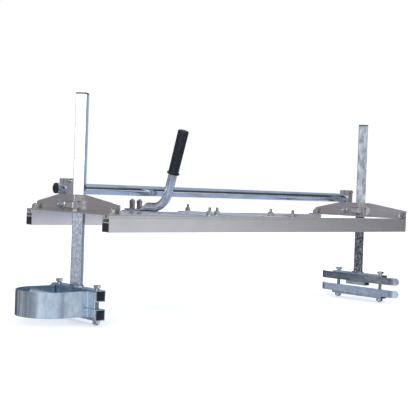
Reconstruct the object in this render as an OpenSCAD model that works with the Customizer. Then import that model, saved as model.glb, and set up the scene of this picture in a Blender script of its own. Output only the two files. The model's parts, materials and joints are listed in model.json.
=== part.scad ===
// Chainsaw mill: a rail frame that rides on a log and holds a saw bar level below it.
// X runs along the rails, Y across them with the pusher's side at +Y, Z is up.
// Inside the modules X = 0 is midway between the posts, Y = 0 midway between the rails
// and Z = 0 is the top of the rails; on_floor() moves that to the centre of the footprint.

/* [Rails] */
// Length of each rail
rail_length = 1018; // [860:1:1300]
// Distance over the outer sides of the two rails
mill_width = 351.4; // [320:0.2:420]
// Width of one rail
rail_width = 28; // [26:0.5:32]
// Height of one rail
rail_height = 37; // [34:0.5:46]
// Side wall of a rail
rail_wall = 2.5; // [1.8:0.1:3]
// Thickness of the two lips beside the bolt slot
lip_thickness = 5; // [4:0.5:6]
// Width of the bolt slot
slot_width = 9; // [8.6:0.1:10]
// Height of the space for the bolt heads under the lips
slot_depth = 9.5; // [8:0.5:11]
// Thickness of the wall between the bolt space and the lower chamber
divider = 2.5; // [2:0.1:3]
// Thickness of the wall under the lower chamber
rail_floor = 2; // [1.5:0.1:3]
// Width of the fine groove along the side of a rail
groove_width = 1; // [0.6:0.1:1.4]
// Depth of the fine groove
groove_depth = 0.8; // [0.4:0.1:1.2]

/* [Brackets] */
// Thickness of the bent sheet
sheet = 3; // [2.5:0.1:4]
// Depth of the bracket foot that lies on the rails
foot_depth = 28; // [27:0.5:34]
// Distance from the post axis back to the far side of the upright web
web_setback = 8; // [7:0.5:9]
// Height of the web over the rails
web_height = 40.5; // [38.5:0.5:41]
// Height of the web at its two ends
web_end_height = 21.5; // [16:0.5:28]
// Reach of the level top of the web towards the rear
web_level_rear = 70; // [60:1:90]
// Reach of the level top of the web towards the front
web_level_front = 42; // [40:1:90]
// How far the rear end of the web leans in at its top
web_end_lean = 6; // [0:0.5:12]
// Outer radius of the bend between foot and web
bend_radius = 4; // [3.5:0.5:6]
// Height of the loop of sheet around the post
loop_height = 14; // [10:1:16]
// Reach of the loop in front of the web
loop_reach = 14; // [13.5:0.5:18]
// Thickness of the loop
loop_wall = 2.5; // [2:0.1:3]
// Half width of the loop towards the rear
loop_rear = 21; // [18:0.5:26]
// Half width of the loop towards the front
loop_front = 17; // [16.5:0.5:20]

/* [Post clamps] */
// Width of the vee block
block_width = 30; // [26:1:40]
// Reach of the vee block in front of the web
block_reach = 16; // [14:0.5:18]
// Height of the vee block
block_height = 18; // [14:0.5:18]
// Clearance between vee block and bracket foot
block_lift = 4.5; // [4:0.5:5]
// Bevel on the edges of the vee block
block_bevel = 3.5; // [1:0.5:4]
// Thickness of the strap that pulls the post into the vee block
strap_thickness = 3; // [2:0.1:4]
// Height of the strap
strap_height = 20; // [14:1:20]
// Height of the middle of the strap over the rails
strap_level = 16.5; // [15:0.5:17]
// End of the strap's foot, measured from the post axis
strap_end = 66; // [64:1:80]
// Length of the hook behind the web
strap_hook = 10; // [6:0.5:16]
// Clearance between the post and the parts that grip it
grip_gap = 0.3; // [0.2:0.05:0.5]
// Clearance between the post and the hole through the bracket
passage_gap = 1; // [0.6:0.1:1.4]
// Distance of the strap bolt from the post axis
strap_bolt_y = 53; // [50:0.5:55]
// Diameter of the strap bolt
strap_bolt_d = 12; // [10:1:12]
// Width across flats of the strap bolt and its nut
strap_bolt_af = 18; // [16:0.5:19]
// Thickness of the nut on the strap bolt
strap_nut_height = 10.7; // [8:0.1:12]
// Thickness of the head of the strap bolt
strap_head_height = 7.5; // [6:0.5:8]
// Diameter of the washer under the nut on the strap bolt
strap_washer_d = 21; // [20:0.5:24]
// Thickness of that washer
strap_washer_height = 2.6; // [1.6:0.1:3]

/* [Push bar] */
// Outer diameter of the push bar
push_bar_d = 25; // [20:0.5:25]
// Wall of the push bar
push_bar_wall = 2; // [1.5:0.1:3]
// Height of the push bar axis over the rails
push_bar_level = 53.5; // [53.5:0.5:60]
// Distance of the push bar axis behind the posts
push_bar_y = 58; // [54:0.5:70]
// How far the push bar passes the far side of the left clamp block
push_bar_tail = 19; // [12:1:40]
// Clearance around the push bar in its clamp blocks
push_bar_gap = 0.08; // [0.05:0.01:0.1]
// Thickness of a clamp block along the push bar
clamp_block_depth = 18; // [14:0.5:20]
// Width of a clamp block
clamp_block_width = 34; // [33:0.5:40]
// Metal over the bore of a clamp block
clamp_block_head = 11; // [11:0.5:16]
// Welded length of a clamp block on the web
clamp_block_lap = 12; // [10:0.5:13]
// Bevel on the long edges of a clamp block
clamp_block_bevel = 2; // [0.5:0.5:4]
// Width of the slit in a clamp block
slit_width = 2; // [1:0.1:3]
// Diameter of the pinch bolt
pinch_d = 6; // [5:0.5:6]
// Width across flats of the pinch bolt and its nut
pinch_af = 10; // [9:0.5:11]
// Thickness of the head of the pinch bolt
pinch_head_height = 4.2; // [3:0.1:5]
// Thickness of the nut on the pinch bolt
pinch_nut_height = 5; // [4:0.1:6]

/* [Posts] */
// Side of the square post
post_side = 25.4; // [22:0.1:27]
// Wall of the square post
post_wall = 2; // [1.5:0.1:3]
// Corner radius of the square tubes
tube_corner = 1.6; // [0.8:0.1:2.4]
// Height of the post over the rails
post_above = 270.5; // [120:0.5:400]
// Length of the post below the rail tops
post_below = 168.8; // [110:0.1:300]
// Thickness of the black cap on the post
cap_thickness = 2; // [1:0.5:4]
// Size of the weld at the foot of the post
weld_size = 4; // [2:0.5:6]

/* [Bar clamps] */
// Side of the square clamp bars
bar_side = 25.4; // [22:0.1:30]
// Wall of the clamp bars
bar_wall = 2; // [1.5:0.1:3]
// Reach of the clamp bars towards the front
bar_front = 99.5; // [98:0.5:130]
// Reach of the clamp bars towards the rear
bar_rear = 88.6; // [87:0.2:130]
// Open gap between the two bars of a clamp
bar_gap = 17; // [14:0.5:24]
// Diameter of the clamp bolts
clamp_bolt_d = 10; // [8:0.5:10]
// Distance of the front clamp bolt from the post axis
clamp_bolt_front = 85; // [84:0.5:88]
// Distance of the rear clamp bolt from the post axis
clamp_bolt_rear = 74; // [60:0.5:76]
// Width across flats of the clamp bolts
clamp_bolt_af = 16; // [13:0.5:17]
// Thickness of the clamp bolt heads
clamp_head_height = 6.4; // [5:0.1:8]
// Bare shank under the clamp bolt heads
clamp_head_lift = 4; // [0:0.5:10]
// Thickness of the clamp nuts
clamp_nut_height = 8; // [6:0.5:10]
// Bolt end that shows below the clamp nuts
clamp_bolt_tip = 2.9; // [1:0.1:12]
// Clearance around bolts that only pass through a hole
bolt_gap = 0.3; // [0.2:0.05:0.5]
// Length of the pad under the upper right bar
pad_length = 72; // [50:1:100]
// Height of the pad
pad_height = 10; // [6:0.5:10]
// Wall of the pad
pad_wall = 2; // [1:0.1:2.5]

/* [Nose guard] */
// Outer radius of the round band
guard_radius = 72; // [66:0.5:76]
// Distance of the band's centre from the post axis
guard_reach = 75; // [40:1:120]
// How far the middle of the band lies behind the post axis
guard_shift = -1.8; // [-4:0.1:2]
// Height of the band
guard_height = 57; // [50:0.5:62]
// How far the top of the band lies under the top of the upper bar
guard_drop = 3.7; // [1:0.1:6]
// Thickness of the band and of the wear strips
band = 3; // [2:0.1:4]
// Outer radius of the bends at the feet of the band
guard_bend = 6; // [5:0.5:8]
// Height of the slit in the feet of the band
guard_slit = 1.2; // [0.8:0.1:3]
// How far the slit runs from the clamp bars along the legs of the band
guard_slit_reach = 14; // [8:1:24]
// Clearance between the band and the lower bar that moves behind it
guard_gap = 0.3; // [0.2:0.05:0.5]

/* [Wear strips] */
// Height of a wear strip
strip_height = 21; // [16:0.5:24]
// Reach of the straight stretch towards the front
strip_front = 124; // [105:0.5:150]
// Reach of the straight stretch towards the rear
strip_rear = 111; // [95:0.5:150]
// How far the upper wear strip lies under the top of its bar
upper_strip_drop = 3.7; // [0:0.1:6]
// How far the lower wear strip stands over the top of its bar
lower_strip_rise = 2.7; // [0:0.1:2.8]
// Inner radius of the turned ends
strip_radius = 30; // [18:1:50]
// Angle of the turned ends
strip_angle = 60; // [45:1:75]

/* [Handle and plates] */
// Distance of the handle from the left end of the rails
handle_x = 302.5; // [270:0.5:340]
// Width of the plate under the handle
handle_plate_width = 50; // [46:1:70]
// Thickness of the two cross plates
plate_thickness = 3; // [2:0.5:5]
// Outer diameter of the handle tube
handle_d = 22; // [18:0.5:25]
// Wall of the handle tube
handle_wall = 2; // [1.5:0.1:3]
// Middle radius of the bend in the handle
handle_bend = 60; // [50:1:64]
// Lean of the grip away from upright
handle_lean = 18.7; // [10:0.1:30]
// Distance from the handle's flattened tip to the place where its two straight lines meet
handle_reach = 163.4; // [160:0.2:174]
// Straight length of bare tube above the bend
handle_neck = 46; // [30:1:90]
// Length of the grip
grip_length = 112; // [90:1:140]
// Diameter of the grip
grip_d = 27; // [26:0.5:32]
// Rounding of the closed end of the grip
grip_round = 3; // [1:0.5:8]
// Diameter of the collar at the foot of the grip
collar_d = 32; // [32:0.5:38]
// Height of the collar
collar_height = 4; // [2:0.5:8]
// Thickness of the flattened end of the handle
flat_thickness = 4.6; // [4:0.1:6]
// Width of the flattened end of the handle
flat_width = 30; // [24:0.5:32]
// Length of the flattened end of the handle
flat_length = 71; // [68:1:74]
// Length over which the tube flattens
flat_taper = 26; // [16:1:28]
// How far the flattened end passes the outer side of the rear rail
handle_overhang = 11.3; // [4:0.1:24]
// Distance between the two bolts of the handle
handle_bolt_pitch = 31.7; // [30:0.1:33]
// Distance between the two front bolts of the handle plate
front_bolt_pitch = 23; // [20:0.5:30]
// Length of the tall nuts on the handle
tall_nut_height = 21; // [12:0.5:30]
// Width across flats of the tall nuts
tall_nut_af = 14; // [13:0.5:15]
// Distance of the cross plate's middle from the left end of the rails
cross_plate_x = 491; // [440:1:530]
// Width of the cross plate
cross_plate_width = 52; // [40:1:56]
// Distance of the stop bolt from the left end of the rails
stop_x = 569; // [560:1:700]

/* [Small bolts] */
// Diameter of the slot bolts
slot_bolt_d = 8; // [6:0.5:8]
// Length of a slot bolt's head along the rail
slot_head_length = 12; // [10:0.5:16]
// Thickness of a slot bolt's head
slot_head_height = 4.4; // [3:0.1:6]
// Clearance on each side of a slot bolt's head
slot_head_gap = 0.3; // [0.2:0.05:0.6]
// Width across flats of the small nuts
nut_af = 13; // [10:0.5:14]
// Height of the small nuts
nut_height = 8; // [6:0.1:9]
// Diameter of the washers under the small nuts
washer_d = 16; // [14:0.5:18]
// Thickness of the washers
washer_height = 2; // [1:0.1:2.5]
// Bolt end that shows over most nuts
bolt_tip = 3.5; // [1:0.1:8]
// Bolt end that shows over the small nuts on the plates and at the stop
plate_bolt_tip = 8.5; // [3:0.1:12]
// Clearance of a plug in its tube
plug_gap = 0.1; // [0.05:0.05:0.2]
// Depth of the plugs in the posts, the rails and the push bar
plug_depth = 12; // [6:1:16]
// Depth of the plugs in the clamp bars
bar_plug_depth = 8; // [5:0.5:8]
// How far a flush plug stands out of its tube
plug_proud = 0.5; // [0.3:0.1:2]
// Thickness of the round caps on the push bar
bar_cap = 2.5; // [1:0.5:4]

/* [Hidden] */
$fn = 48;

zinc = "#b4c4cf";
sheet_steel = "#85837f";
aluminium = "#c1c2c7";
black = "#2a2b33";
left = -1;
right = 1;
hair = 0.01;

post_pitch = rail_length - foot_depth;
half_width = mill_width / 2;
rail_start = -post_pitch / 2 - web_setback - foot_depth;
slot_y = half_width - rail_width / 2;
cavity_width = rail_width - 2 * rail_wall;
chamber_height = rail_height - lip_thickness - slot_depth - divider - rail_floor;
rail_corner = 0.6;
plug_bevel = 1;

post_diagonal = post_side / 2 * sqrt(2);
web_front = web_setback + sheet;
grip_line = post_diagonal + grip_gap * sqrt(2);
block_z = sheet + block_lift;
hook_clearance = 0.2;
slot_clearance = 0.4;

clamp_block_top = push_bar_level + push_bar_d / 2 + clamp_block_head;
clamp_block_foot = web_height - clamp_block_lap;
clamp_block_end = clamp_block_depth - web_setback;
pinch_z = clamp_block_top - clamp_block_head / 2;
pinch_reach = clamp_block_width / 2;

upper_top = -post_below;
upper_bottom = upper_top - bar_side;
lower_top = upper_bottom - bar_gap;
lower_bottom = lower_top - bar_side;
floor_z = lower_bottom - clamp_nut_height - clamp_bolt_tip;
bar_half = bar_side / 2;

strap_nose = grip_line + strap_thickness * sqrt(2);
reach_right = max(strap_nose, clamp_block_end + bar_cap);
reach_left = guard_reach + guard_radius;
centre_x = (reach_right - reach_left) / 2;
centre_y = handle_overhang / 2;

handle_tip_y = half_width + handle_overhang;
flat_y = handle_tip_y - flat_length;
flat_start_y = flat_y - flat_taper;
handle_tangent = handle_bend * tan((90 - handle_lean) / 2);
corner_y = handle_tip_y - handle_reach + handle_tangent;
handle_axis_z = plate_thickness + handle_d / 2;
handle_turn = 90 - handle_lean;

// Moves the model's own axes to the centre of its footprint on the floor
module on_floor() {
    translate([-centre_x, -centre_y, -floor_z]) children();
}

// Puts children at the left (-1) or right (1) post
module at_post(side) {
    translate([side * post_pitch / 2, 0, 0]) children();
}

// Turns a drawing in the Y-Z plane into a solid that runs along +X
module along_x(length) {
    rotate([90, 0, 90]) linear_extrude(length) children();
}

// Rectangle with rounded corners, centred
module soft_rectangle(width, depth, radius) {
    square([width - 2 * radius, depth], center = true);
    square([width, depth - 2 * radius], center = true);
    for (i = [-1, 1], j = [-1, 1])
        translate([i * (width / 2 - radius), j * (depth / 2 - radius)]) circle(radius);
}

// Rectangle with bevelled corners, centred
module bevelled_rectangle(width, depth, bevel) {
    w = width / 2;
    d = depth / 2;
    polygon([
        [bevel - w, -d], [w - bevel, -d], [w, bevel - d], [w, d - bevel],
        [w - bevel, d], [bevel - w, d], [-w, d - bevel], [-w, bevel - d]
    ]);
}

// Cross-section of a square tube
module tube_section(side, wall) {
    difference() {
        soft_rectangle(side, side, tube_corner);
        square(side - 2 * wall, center = true);
    }
}

// Six-sided prism with its corners turned down at both ends
module hexagon(across_flats, height) {
    outer = across_flats / 2 / cos(30);
    inner = across_flats / 2;
    edge = (outer - inner) / 2;
    intersection() {
        cylinder(r = outer, h = height, $fn = 6);
        rotate_extrude()
            polygon([
                [0, 0], [inner, 0], [outer, edge],
                [outer, height - edge], [inner, height], [0, height]
            ]);
    }
}

// Six-sided nut with a round hole
module hex_nut(across_flats, height, bolt_d) {
    difference() {
        hexagon(across_flats, height);
        translate([0, 0, -1]) cylinder(d = bolt_d + 2 * plug_gap, h = height + 2);
    }
}

// Bolt end with a small bevel, standing on Z = 0
module shank(d, length) {
    bevel = d / 10;
    rotate_extrude()
        polygon([
            [0, 0], [d / 2, 0], [d / 2, length - bevel],
            [d / 2 - bevel, length], [0, length]
        ]);
}

// Outline of a bent strip: one face follows the path, the other lies to its left
function heading(a, b) = (b - a) / norm(b - a);
function left_of(d) = [-d.y, d.x];
function side_before(path, i) =
    left_of(i > 0 ? heading(path[i - 1], path[i]) : heading(path[0], path[1]));
function side_after(path, i) =
    i < len(path) - 1 ? left_of(heading(path[i], path[i + 1])) : side_before(path, i);
function mitred(path, i, t) =
    let(a = side_before(path, i), b = side_after(path, i)) path[i] + t * (a + b) / (1 + a * b);
function strip_outline(path, t) =
    concat(path, [for (i = [len(path) - 1:-1:0]) mitred(path, i, t)]);

// Rails

module rail_section() {
    difference() {
        translate([0, -rail_height / 2])
            soft_rectangle(rail_width, rail_height, rail_corner);
        translate([-slot_width / 2, -lip_thickness - hair])
            square([slot_width, lip_thickness + 1]);
        translate([-cavity_width / 2, -lip_thickness - slot_depth])
            square([cavity_width, slot_depth]);
        translate([-cavity_width / 2, rail_floor - rail_height])
            square([cavity_width, chamber_height]);
        for (s = [-1, 1])
            translate([s * rail_width / 2, -lip_thickness])
                square([2 * groove_depth, groove_width], center = true);
    }
}

module rail(side) {
    translate([rail_start, side * slot_y, 0]) along_x(rail_length) rail_section();
}

module front_rail() {
    on_floor() color(aluminium) rail(-1);
}

module rear_rail() {
    on_floor() color(aluminium) rail(1);
}

module rail_plug() {
    along_x(plug_depth + plug_proud)
        translate([0, rail_floor - rail_height + chamber_height / 2])
            bevelled_rectangle(cavity_width - 2 * plug_gap, chamber_height - 2 * plug_gap,
                               plug_bevel);
}

module rail_end_plugs() {
    on_floor() color(black)
        for (s = [-1, 1], end = [-plug_proud, rail_length - plug_depth])
            translate([rail_start + end, s * slot_y, 0]) rail_plug();
}

// Slot bolts and small nuts

// T-headed bolt in a rail slot, for a stack of the given thickness on the rail, with its end
// that far over its nut
module slot_bolt(stack, tip) {
    length = lip_thickness + stack + washer_height + nut_height + tip;
    width = cavity_width - 2 * slot_head_gap;
    translate([0, 0, -lip_thickness - slot_head_height / 2])
        cube([slot_head_length, width, slot_head_height], center = true);
    translate([0, 0, -lip_thickness - hair]) shank(slot_bolt_d, length + hair);
}

module washer_nut(stack) {
    translate([0, 0, stack]) difference() {
        union() {
            cylinder(d = washer_d, h = washer_height);
            translate([0, 0, washer_height - hair]) hexagon(nut_af, nut_height + hair);
        }
        translate([0, 0, -1])
            cylinder(d = slot_bolt_d + 2 * plug_gap, h = washer_height + nut_height + 2);
    }
}

module slot_bolt_hole() {
    translate([0, 0, -1]) cylinder(d = slot_bolt_d + 2 * bolt_gap, h = 2 * sheet + plate_thickness);
}

// Brackets

bracket_bolt_x = -web_front - (foot_depth - sheet) / 2 + sheet / 2;

// Cross-section of the bent sheet, with X as drawn and Y as the height
module bend_section() {
    difference() {
        union() {
            translate([-web_setback - foot_depth, 0]) square([foot_depth, sheet]);
            translate([-web_front, 0]) square([sheet, web_height]);
        }
        translate([-web_setback - bend_radius, 0]) difference() {
            translate([0, -1]) square([bend_radius + 1, bend_radius + 1]);
            translate([0, bend_radius]) circle(bend_radius);
        }
    }
}

module web_outline() {
    polygon([
        [-half_width, 0], [half_width, 0], [half_width - web_end_lean, web_end_height],
        [web_level_rear, web_height], [-web_level_front, web_height],
        [-half_width, web_end_height]
    ]);
}

module post_loop() {
    translate([-web_front - loop_reach, -loop_front, web_height - loop_height])
        linear_extrude(loop_height) difference() {
            width = loop_front + loop_rear;
            translate([(loop_reach + sheet) / 2, width / 2])
                soft_rectangle(loop_reach + sheet, width, loop_wall);
            translate([loop_wall, loop_wall])
                square([loop_reach + sheet, width - 2 * loop_wall]);
        }
}

// Square hole that the post passes through, turned by an eighth
module post_passage(gap) {
    side = post_side + 2 * gap;
    rotate([0, 0, 45]) translate([-side / 2, -side / 2, -1]) cube([side, side, web_height + 2]);
}

module hook_slot() {
    near = grip_line + web_setback - slot_clearance;
    far = strap_nose + web_front + slot_clearance;
    translate([-web_front - 1, -far, strap_level - strap_height / 2 - slot_clearance])
        cube([sheet + 2, far - near, strap_height + 2 * slot_clearance]);
}

module strap_bolt_hole() {
    translate([-web_front - 1, strap_bolt_y, strap_level]) rotate([0, 90, 0])
        cylinder(d = strap_bolt_d + 2 * bolt_gap, h = sheet + strap_thickness + 2);
}

module bracket() {
    difference() {
        union() {
            intersection() {
                translate([0, half_width, 0]) rotate([90, 0, 0])
                    linear_extrude(mill_width) bend_section();
                translate([-web_setback - foot_depth - 1, 0, 0])
                    along_x(foot_depth + 2) web_outline();
            }
            post_loop();
        }
        post_passage(passage_gap);
        hook_slot();
        strap_bolt_hole();
        for (s = [-1, 1]) translate([bracket_bolt_x, s * slot_y, 0]) slot_bolt_hole();
    }
}

module bracket_bolts() {
    for (s = [-1, 1]) translate([bracket_bolt_x, s * slot_y, 0])
        slot_bolt(sheet, bolt_tip);
}

module bracket_nuts() {
    for (s = [-1, 1]) translate([bracket_bolt_x, s * slot_y, 0]) washer_nut(sheet);
}

// Block welded in front of the web, with a vee for the corner of the post
module vee_block() {
    difference() {
        intersection() {
            translate([-web_front - block_reach / 2, block_width / 2, block_z + block_height / 2])
                rotate([90, 0, 0]) linear_extrude(block_width)
                    bevelled_rectangle(block_reach, block_height, block_bevel);
            translate([-web_front - block_reach / 2, 0, block_z])
                linear_extrude(block_height)
                    bevelled_rectangle(block_reach, block_width, block_bevel / 2);
        }
        post_passage(grip_gap);
    }
}

// Strap around the back of the post: a foot at the rear, a vee, and a hook at the front
module strap() {
    hook_x = -web_front - hook_clearance - strap_thickness;
    leg_end = grip_line - hook_x;
    path = [
        [-web_setback, strap_end], [-web_setback, grip_line + web_setback],
        [grip_line, 0], [hook_x, -leg_end], [hook_x, -leg_end - strap_hook]
    ];
    difference() {
        translate([0, 0, strap_level - strap_height / 2])
            linear_extrude(strap_height) polygon(strip_outline(path, strap_thickness));
        strap_bolt_hole();
    }
}

module strap_bolt() {
    grip = strap_thickness + sheet + strap_washer_height + strap_nut_height + bolt_tip;
    translate([strap_thickness - web_setback, strap_bolt_y, strap_level]) {
        rotate([0, 90, 0]) rotate([0, 0, 30]) hexagon(strap_bolt_af, strap_head_height);
        translate([hair, 0, 0]) rotate([0, -90, 0]) shank(strap_bolt_d, grip + hair);
    }
}

module strap_nut() {
    length = strap_washer_height + strap_nut_height;
    translate([-web_front, strap_bolt_y, strap_level]) rotate([0, -90, 0]) difference() {
        union() {
            cylinder(d = strap_washer_d, h = strap_washer_height);
            translate([0, 0, strap_washer_height - hair]) rotate([0, 0, 30])
                hexagon(strap_bolt_af, strap_nut_height + hair);
        }
        translate([0, 0, -1]) cylinder(d = strap_bolt_d + 2 * plug_gap, h = length + 2);
    }
}

// Split block that holds the push bar on the far side of the web
module clamp_block() {
    height = clamp_block_top - clamp_block_foot;
    bore_r = push_bar_d / 2 + push_bar_gap;
    difference() {
        translate([-web_setback, push_bar_y, clamp_block_foot + height / 2])
            along_x(clamp_block_depth)
                bevelled_rectangle(clamp_block_width, height, clamp_block_bevel);
        translate([-web_setback - 1, push_bar_y, push_bar_level]) rotate([0, 90, 0])
            cylinder(r = bore_r, h = clamp_block_depth + 2);
        translate([-web_setback - 1, push_bar_y - slit_width / 2, push_bar_level])
            cube([clamp_block_depth + 2, slit_width, clamp_block_top]);
        translate([clamp_block_end - clamp_block_depth / 2, push_bar_y, pinch_z])
            rotate([90, 0, 0])
                cylinder(d = pinch_d + 2 * bolt_gap, h = clamp_block_width + 2, center = true);
    }
}

// Pinch bolt with its head at the rear
module pinch_bolt() {
    length = clamp_block_width + pinch_nut_height + bolt_tip;
    translate([clamp_block_end - clamp_block_depth / 2, push_bar_y + pinch_reach, pinch_z]) {
        translate([0, pinch_head_height, 0]) rotate([90, 0, 0])
            hexagon(pinch_af, pinch_head_height);
        translate([0, hair, 0]) rotate([90, 0, 0]) shank(pinch_d, length + hair);
    }
}

module pinch_nut() {
    translate([clamp_block_end - clamp_block_depth / 2, push_bar_y - pinch_reach, pinch_z])
        rotate([90, 0, 0]) hex_nut(pinch_af, pinch_nut_height, pinch_d);
}

module left_bracket() {
    on_floor() color(sheet_steel) at_post(left) bracket();
}

module left_bracket_bolts() {
    on_floor() color(zinc) at_post(left) bracket_bolts();
}

module left_bracket_nuts() {
    on_floor() color(zinc) at_post(left) bracket_nuts();
}

module left_vee_block() {
    on_floor() color(zinc) at_post(left) vee_block();
}

module left_strap() {
    on_floor() color(sheet_steel) at_post(left) strap();
}

module left_strap_bolt() {
    on_floor() color(zinc) at_post(left) strap_bolt();
}

module left_strap_nut() {
    on_floor() color(zinc) at_post(left) strap_nut();
}

module left_clamp_block() {
    on_floor() color(sheet_steel) at_post(left) clamp_block();
}

module left_pinch_bolt() {
    on_floor() color(zinc) at_post(left) pinch_bolt();
}

module left_pinch_nut() {
    on_floor() color(zinc) at_post(left) pinch_nut();
}

module right_bracket() {
    on_floor() color(sheet_steel) at_post(right) bracket();
}

module right_bracket_bolts() {
    on_floor() color(zinc) at_post(right) bracket_bolts();
}

module right_bracket_nuts() {
    on_floor() color(zinc) at_post(right) bracket_nuts();
}

module right_vee_block() {
    on_floor() color(zinc) at_post(right) vee_block();
}

module right_strap() {
    on_floor() color(sheet_steel) at_post(right) strap();
}

module right_strap_bolt() {
    on_floor() color(zinc) at_post(right) strap_bolt();
}

module right_strap_nut() {
    on_floor() color(zinc) at_post(right) strap_nut();
}

module right_clamp_block() {
    on_floor() color(sheet_steel) at_post(right) clamp_block();
}

module right_pinch_bolt() {
    on_floor() color(zinc) at_post(right) pinch_bolt();
}

module right_pinch_nut() {
    on_floor() color(zinc) at_post(right) pinch_nut();
}

// Posts and bar clamps

module post() {
    translate([0, 0, -post_below]) rotate([0, 0, 45])
        linear_extrude(post_below + post_above) tube_section(post_side, post_wall);
}

// Cap that lies on the end of the post, with a stem inside it
module post_cap() {
    stem = post_side - 2 * post_wall - 2 * plug_gap;
    translate([0, 0, post_above]) rotate([0, 0, 45]) {
        linear_extrude(cap_thickness) soft_rectangle(post_side, post_side, tube_corner);
        translate([0, 0, -plug_depth]) linear_extrude(plug_depth + hair)
            square(stem, center = true);
    }
}

// Square clamp bar across the mill, its top at the given height
module clamp_bar(top) {
    difference() {
        translate([0, bar_rear, top - bar_half]) rotate([90, 0, 0])
            linear_extrude(bar_front + bar_rear) tube_section(bar_side, bar_wall);
        for (y = [-clamp_bolt_front, clamp_bolt_rear])
            translate([0, y, top - bar_side - 1])
                cylinder(d = clamp_bolt_d + 2 * bolt_gap, h = bar_side + 2);
    }
}

// Stepped bead of weld around the foot of the post, as wide as the flat of the bar
module foot_weld() {
    steps = 4;
    flat = bar_half - tube_corner;
    intersection() {
        translate([0, 0, upper_top]) rotate([0, 0, 45]) difference() {
            for (k = [1:steps]) {
                side = post_side + 2 * weld_size * (1 - (k - 1) / steps);
                translate([-side / 2, -side / 2, 0]) cube([side, side, weld_size * k / steps]);
            }
            translate([-post_side / 2, -post_side / 2, -1])
                cube([post_side, post_side, weld_size + 2]);
        }
        translate([-flat, -bar_side, upper_top - 1])
            cube([2 * flat, 2 * bar_side, weld_size + 2]);
    }
}

module upper_bar() {
    clamp_bar(upper_top);
    foot_weld();
}

module bar_plugs(top) {
    side = bar_side - 2 * bar_wall - 2 * plug_gap;
    length = bar_plug_depth + plug_proud;
    for (end = [bar_plug_depth - bar_front, bar_rear + plug_proud])
        translate([0, end, top - bar_half]) rotate([90, 0, 0])
            linear_extrude(length) bevelled_rectangle(side, side, plug_bevel);
}

module clamp_bolts() {
    length = clamp_head_lift + upper_top - floor_z;
    for (y = [-clamp_bolt_front, clamp_bolt_rear])
        translate([0, y, upper_top + clamp_head_lift]) {
            hexagon(clamp_bolt_af, clamp_head_height);
            translate([0, 0, hair]) mirror([0, 0, 1]) shank(clamp_bolt_d, length + hair);
        }
}

module clamp_nuts() {
    for (y = [-clamp_bolt_front, clamp_bolt_rear])
        translate([0, y, lower_bottom - clamp_nut_height])
            difference() {
                hexagon(clamp_bolt_af, clamp_nut_height);
                translate([0, 0, -1])
                    cylinder(d = clamp_bolt_d + 2 * bolt_gap, h = clamp_nut_height + 2);
            }
}

// Quarter ring of band, centred on the origin, in the quadrant of +X and +Y
module quarter_band(radius) {
    difference() {
        circle(radius);
        circle(radius - band);
        translate([-radius - 1, -radius - 1]) square([radius + 1, 2 * radius + 2]);
        translate([-radius - 1, -radius - 1]) square([2 * radius + 2, radius + 1]);
    }
}

// Plan of the round band with its two legs and turned-out feet
module guard_plan() {
    face = -bar_half - guard_gap;
    leg_end = face - guard_bend;
    translate([-guard_reach, guard_shift]) difference() {
        circle(guard_radius);
        circle(guard_radius - band);
        translate([0, -guard_radius - 1]) square([guard_radius + 1, 2 * guard_radius + 2]);
    }
    for (s = [-1, 1]) {
        outer = guard_shift + s * guard_radius;
        foot_end = s > 0 ? bar_rear : -bar_front;
        bend_y = outer + s * (guard_bend - band);
        translate([-guard_reach, min(outer, outer - s * band)])
            square([leg_end + guard_reach, band]);
        translate([leg_end, bend_y]) mirror([0, s > 0 ? 1 : 0]) quarter_band(guard_bend);
        translate([face - band, min(bend_y, foot_end)])
            square([band, abs(foot_end - bend_y)]);
    }
}

module guard() {
    top = upper_top - guard_drop;
    difference() {
        translate([0, 0, top - guard_height]) linear_extrude(guard_height) guard_plan();
        for (s = [-1, 1]) {
            inner = guard_shift + s * (guard_radius - band - 1);
            end = s > 0 ? bar_rear + 1 : -bar_front - 1;
            translate([-bar_half - guard_slit_reach, min(inner, end), lower_top + guard_slit])
                cube([guard_slit_reach + 1, abs(end - inner), guard_slit]);
        }
    }
}

// Plan of one turned end of a wear strip, drawn at the rear end with its root at the origin
module strip_end_plan() {
    outer = strip_radius + band;
    reach = 2 * outer;
    intersection() {
        translate([outer, 0]) difference() {
            circle(outer);
            circle(strip_radius);
        }
        translate([outer, 0])
            polygon([[0, 0], [-reach, 0], [-reach, reach * tan(strip_angle)]]);
    }
}

// What is cut off the end of a wear strip to leave a round tip
module tip_cutter() {
    outer = strip_radius + band;
    half = strip_height / 2;
    ease = 0.3;
    translate([outer, 0, 0]) rotate([0, 0, -strip_angle]) translate([-outer - 1, -half, 0])
        difference() {
            translate([0, 0, -strip_height]) cube([band + 2, strip_height, 2 * strip_height]);
            translate([-1, 0, 0]) rotate([0, 90, 0]) cylinder(r = half + ease, h = band + 4);
        }
}

// Wear strip on the near side of a clamp bar, its middle at the given height
module wear_strip(middle) {
    translate([-bar_half - band, 0, middle]) difference() {
        translate([0, 0, -strip_height / 2]) linear_extrude(strip_height) {
            translate([0, -strip_front]) square([band, strip_front + strip_rear]);
            translate([0, strip_rear]) strip_end_plan();
            translate([0, -strip_front]) mirror([0, 1]) strip_end_plan();
        }
        translate([0, strip_rear, 0]) tip_cutter();
        translate([0, -strip_front, 0]) mirror([0, 1, 0]) tip_cutter();
    }
}

module left_post() {
    on_floor() color(zinc) at_post(left) post();
}

module left_post_cap() {
    on_floor() color(black) at_post(left) post_cap();
}

module left_upper_bar() {
    on_floor() color(zinc) at_post(left) upper_bar();
}

module left_upper_bar_plugs() {
    on_floor() color(black) at_post(left) bar_plugs(upper_top);
}

module left_clamp_bolts() {
    on_floor() color(zinc) at_post(left) clamp_bolts();
}

module nose_guard() {
    on_floor() color(zinc) at_post(left) guard();
}

module left_lower_bar() {
    on_floor() color(zinc) at_post(left) clamp_bar(lower_top);
}

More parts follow.
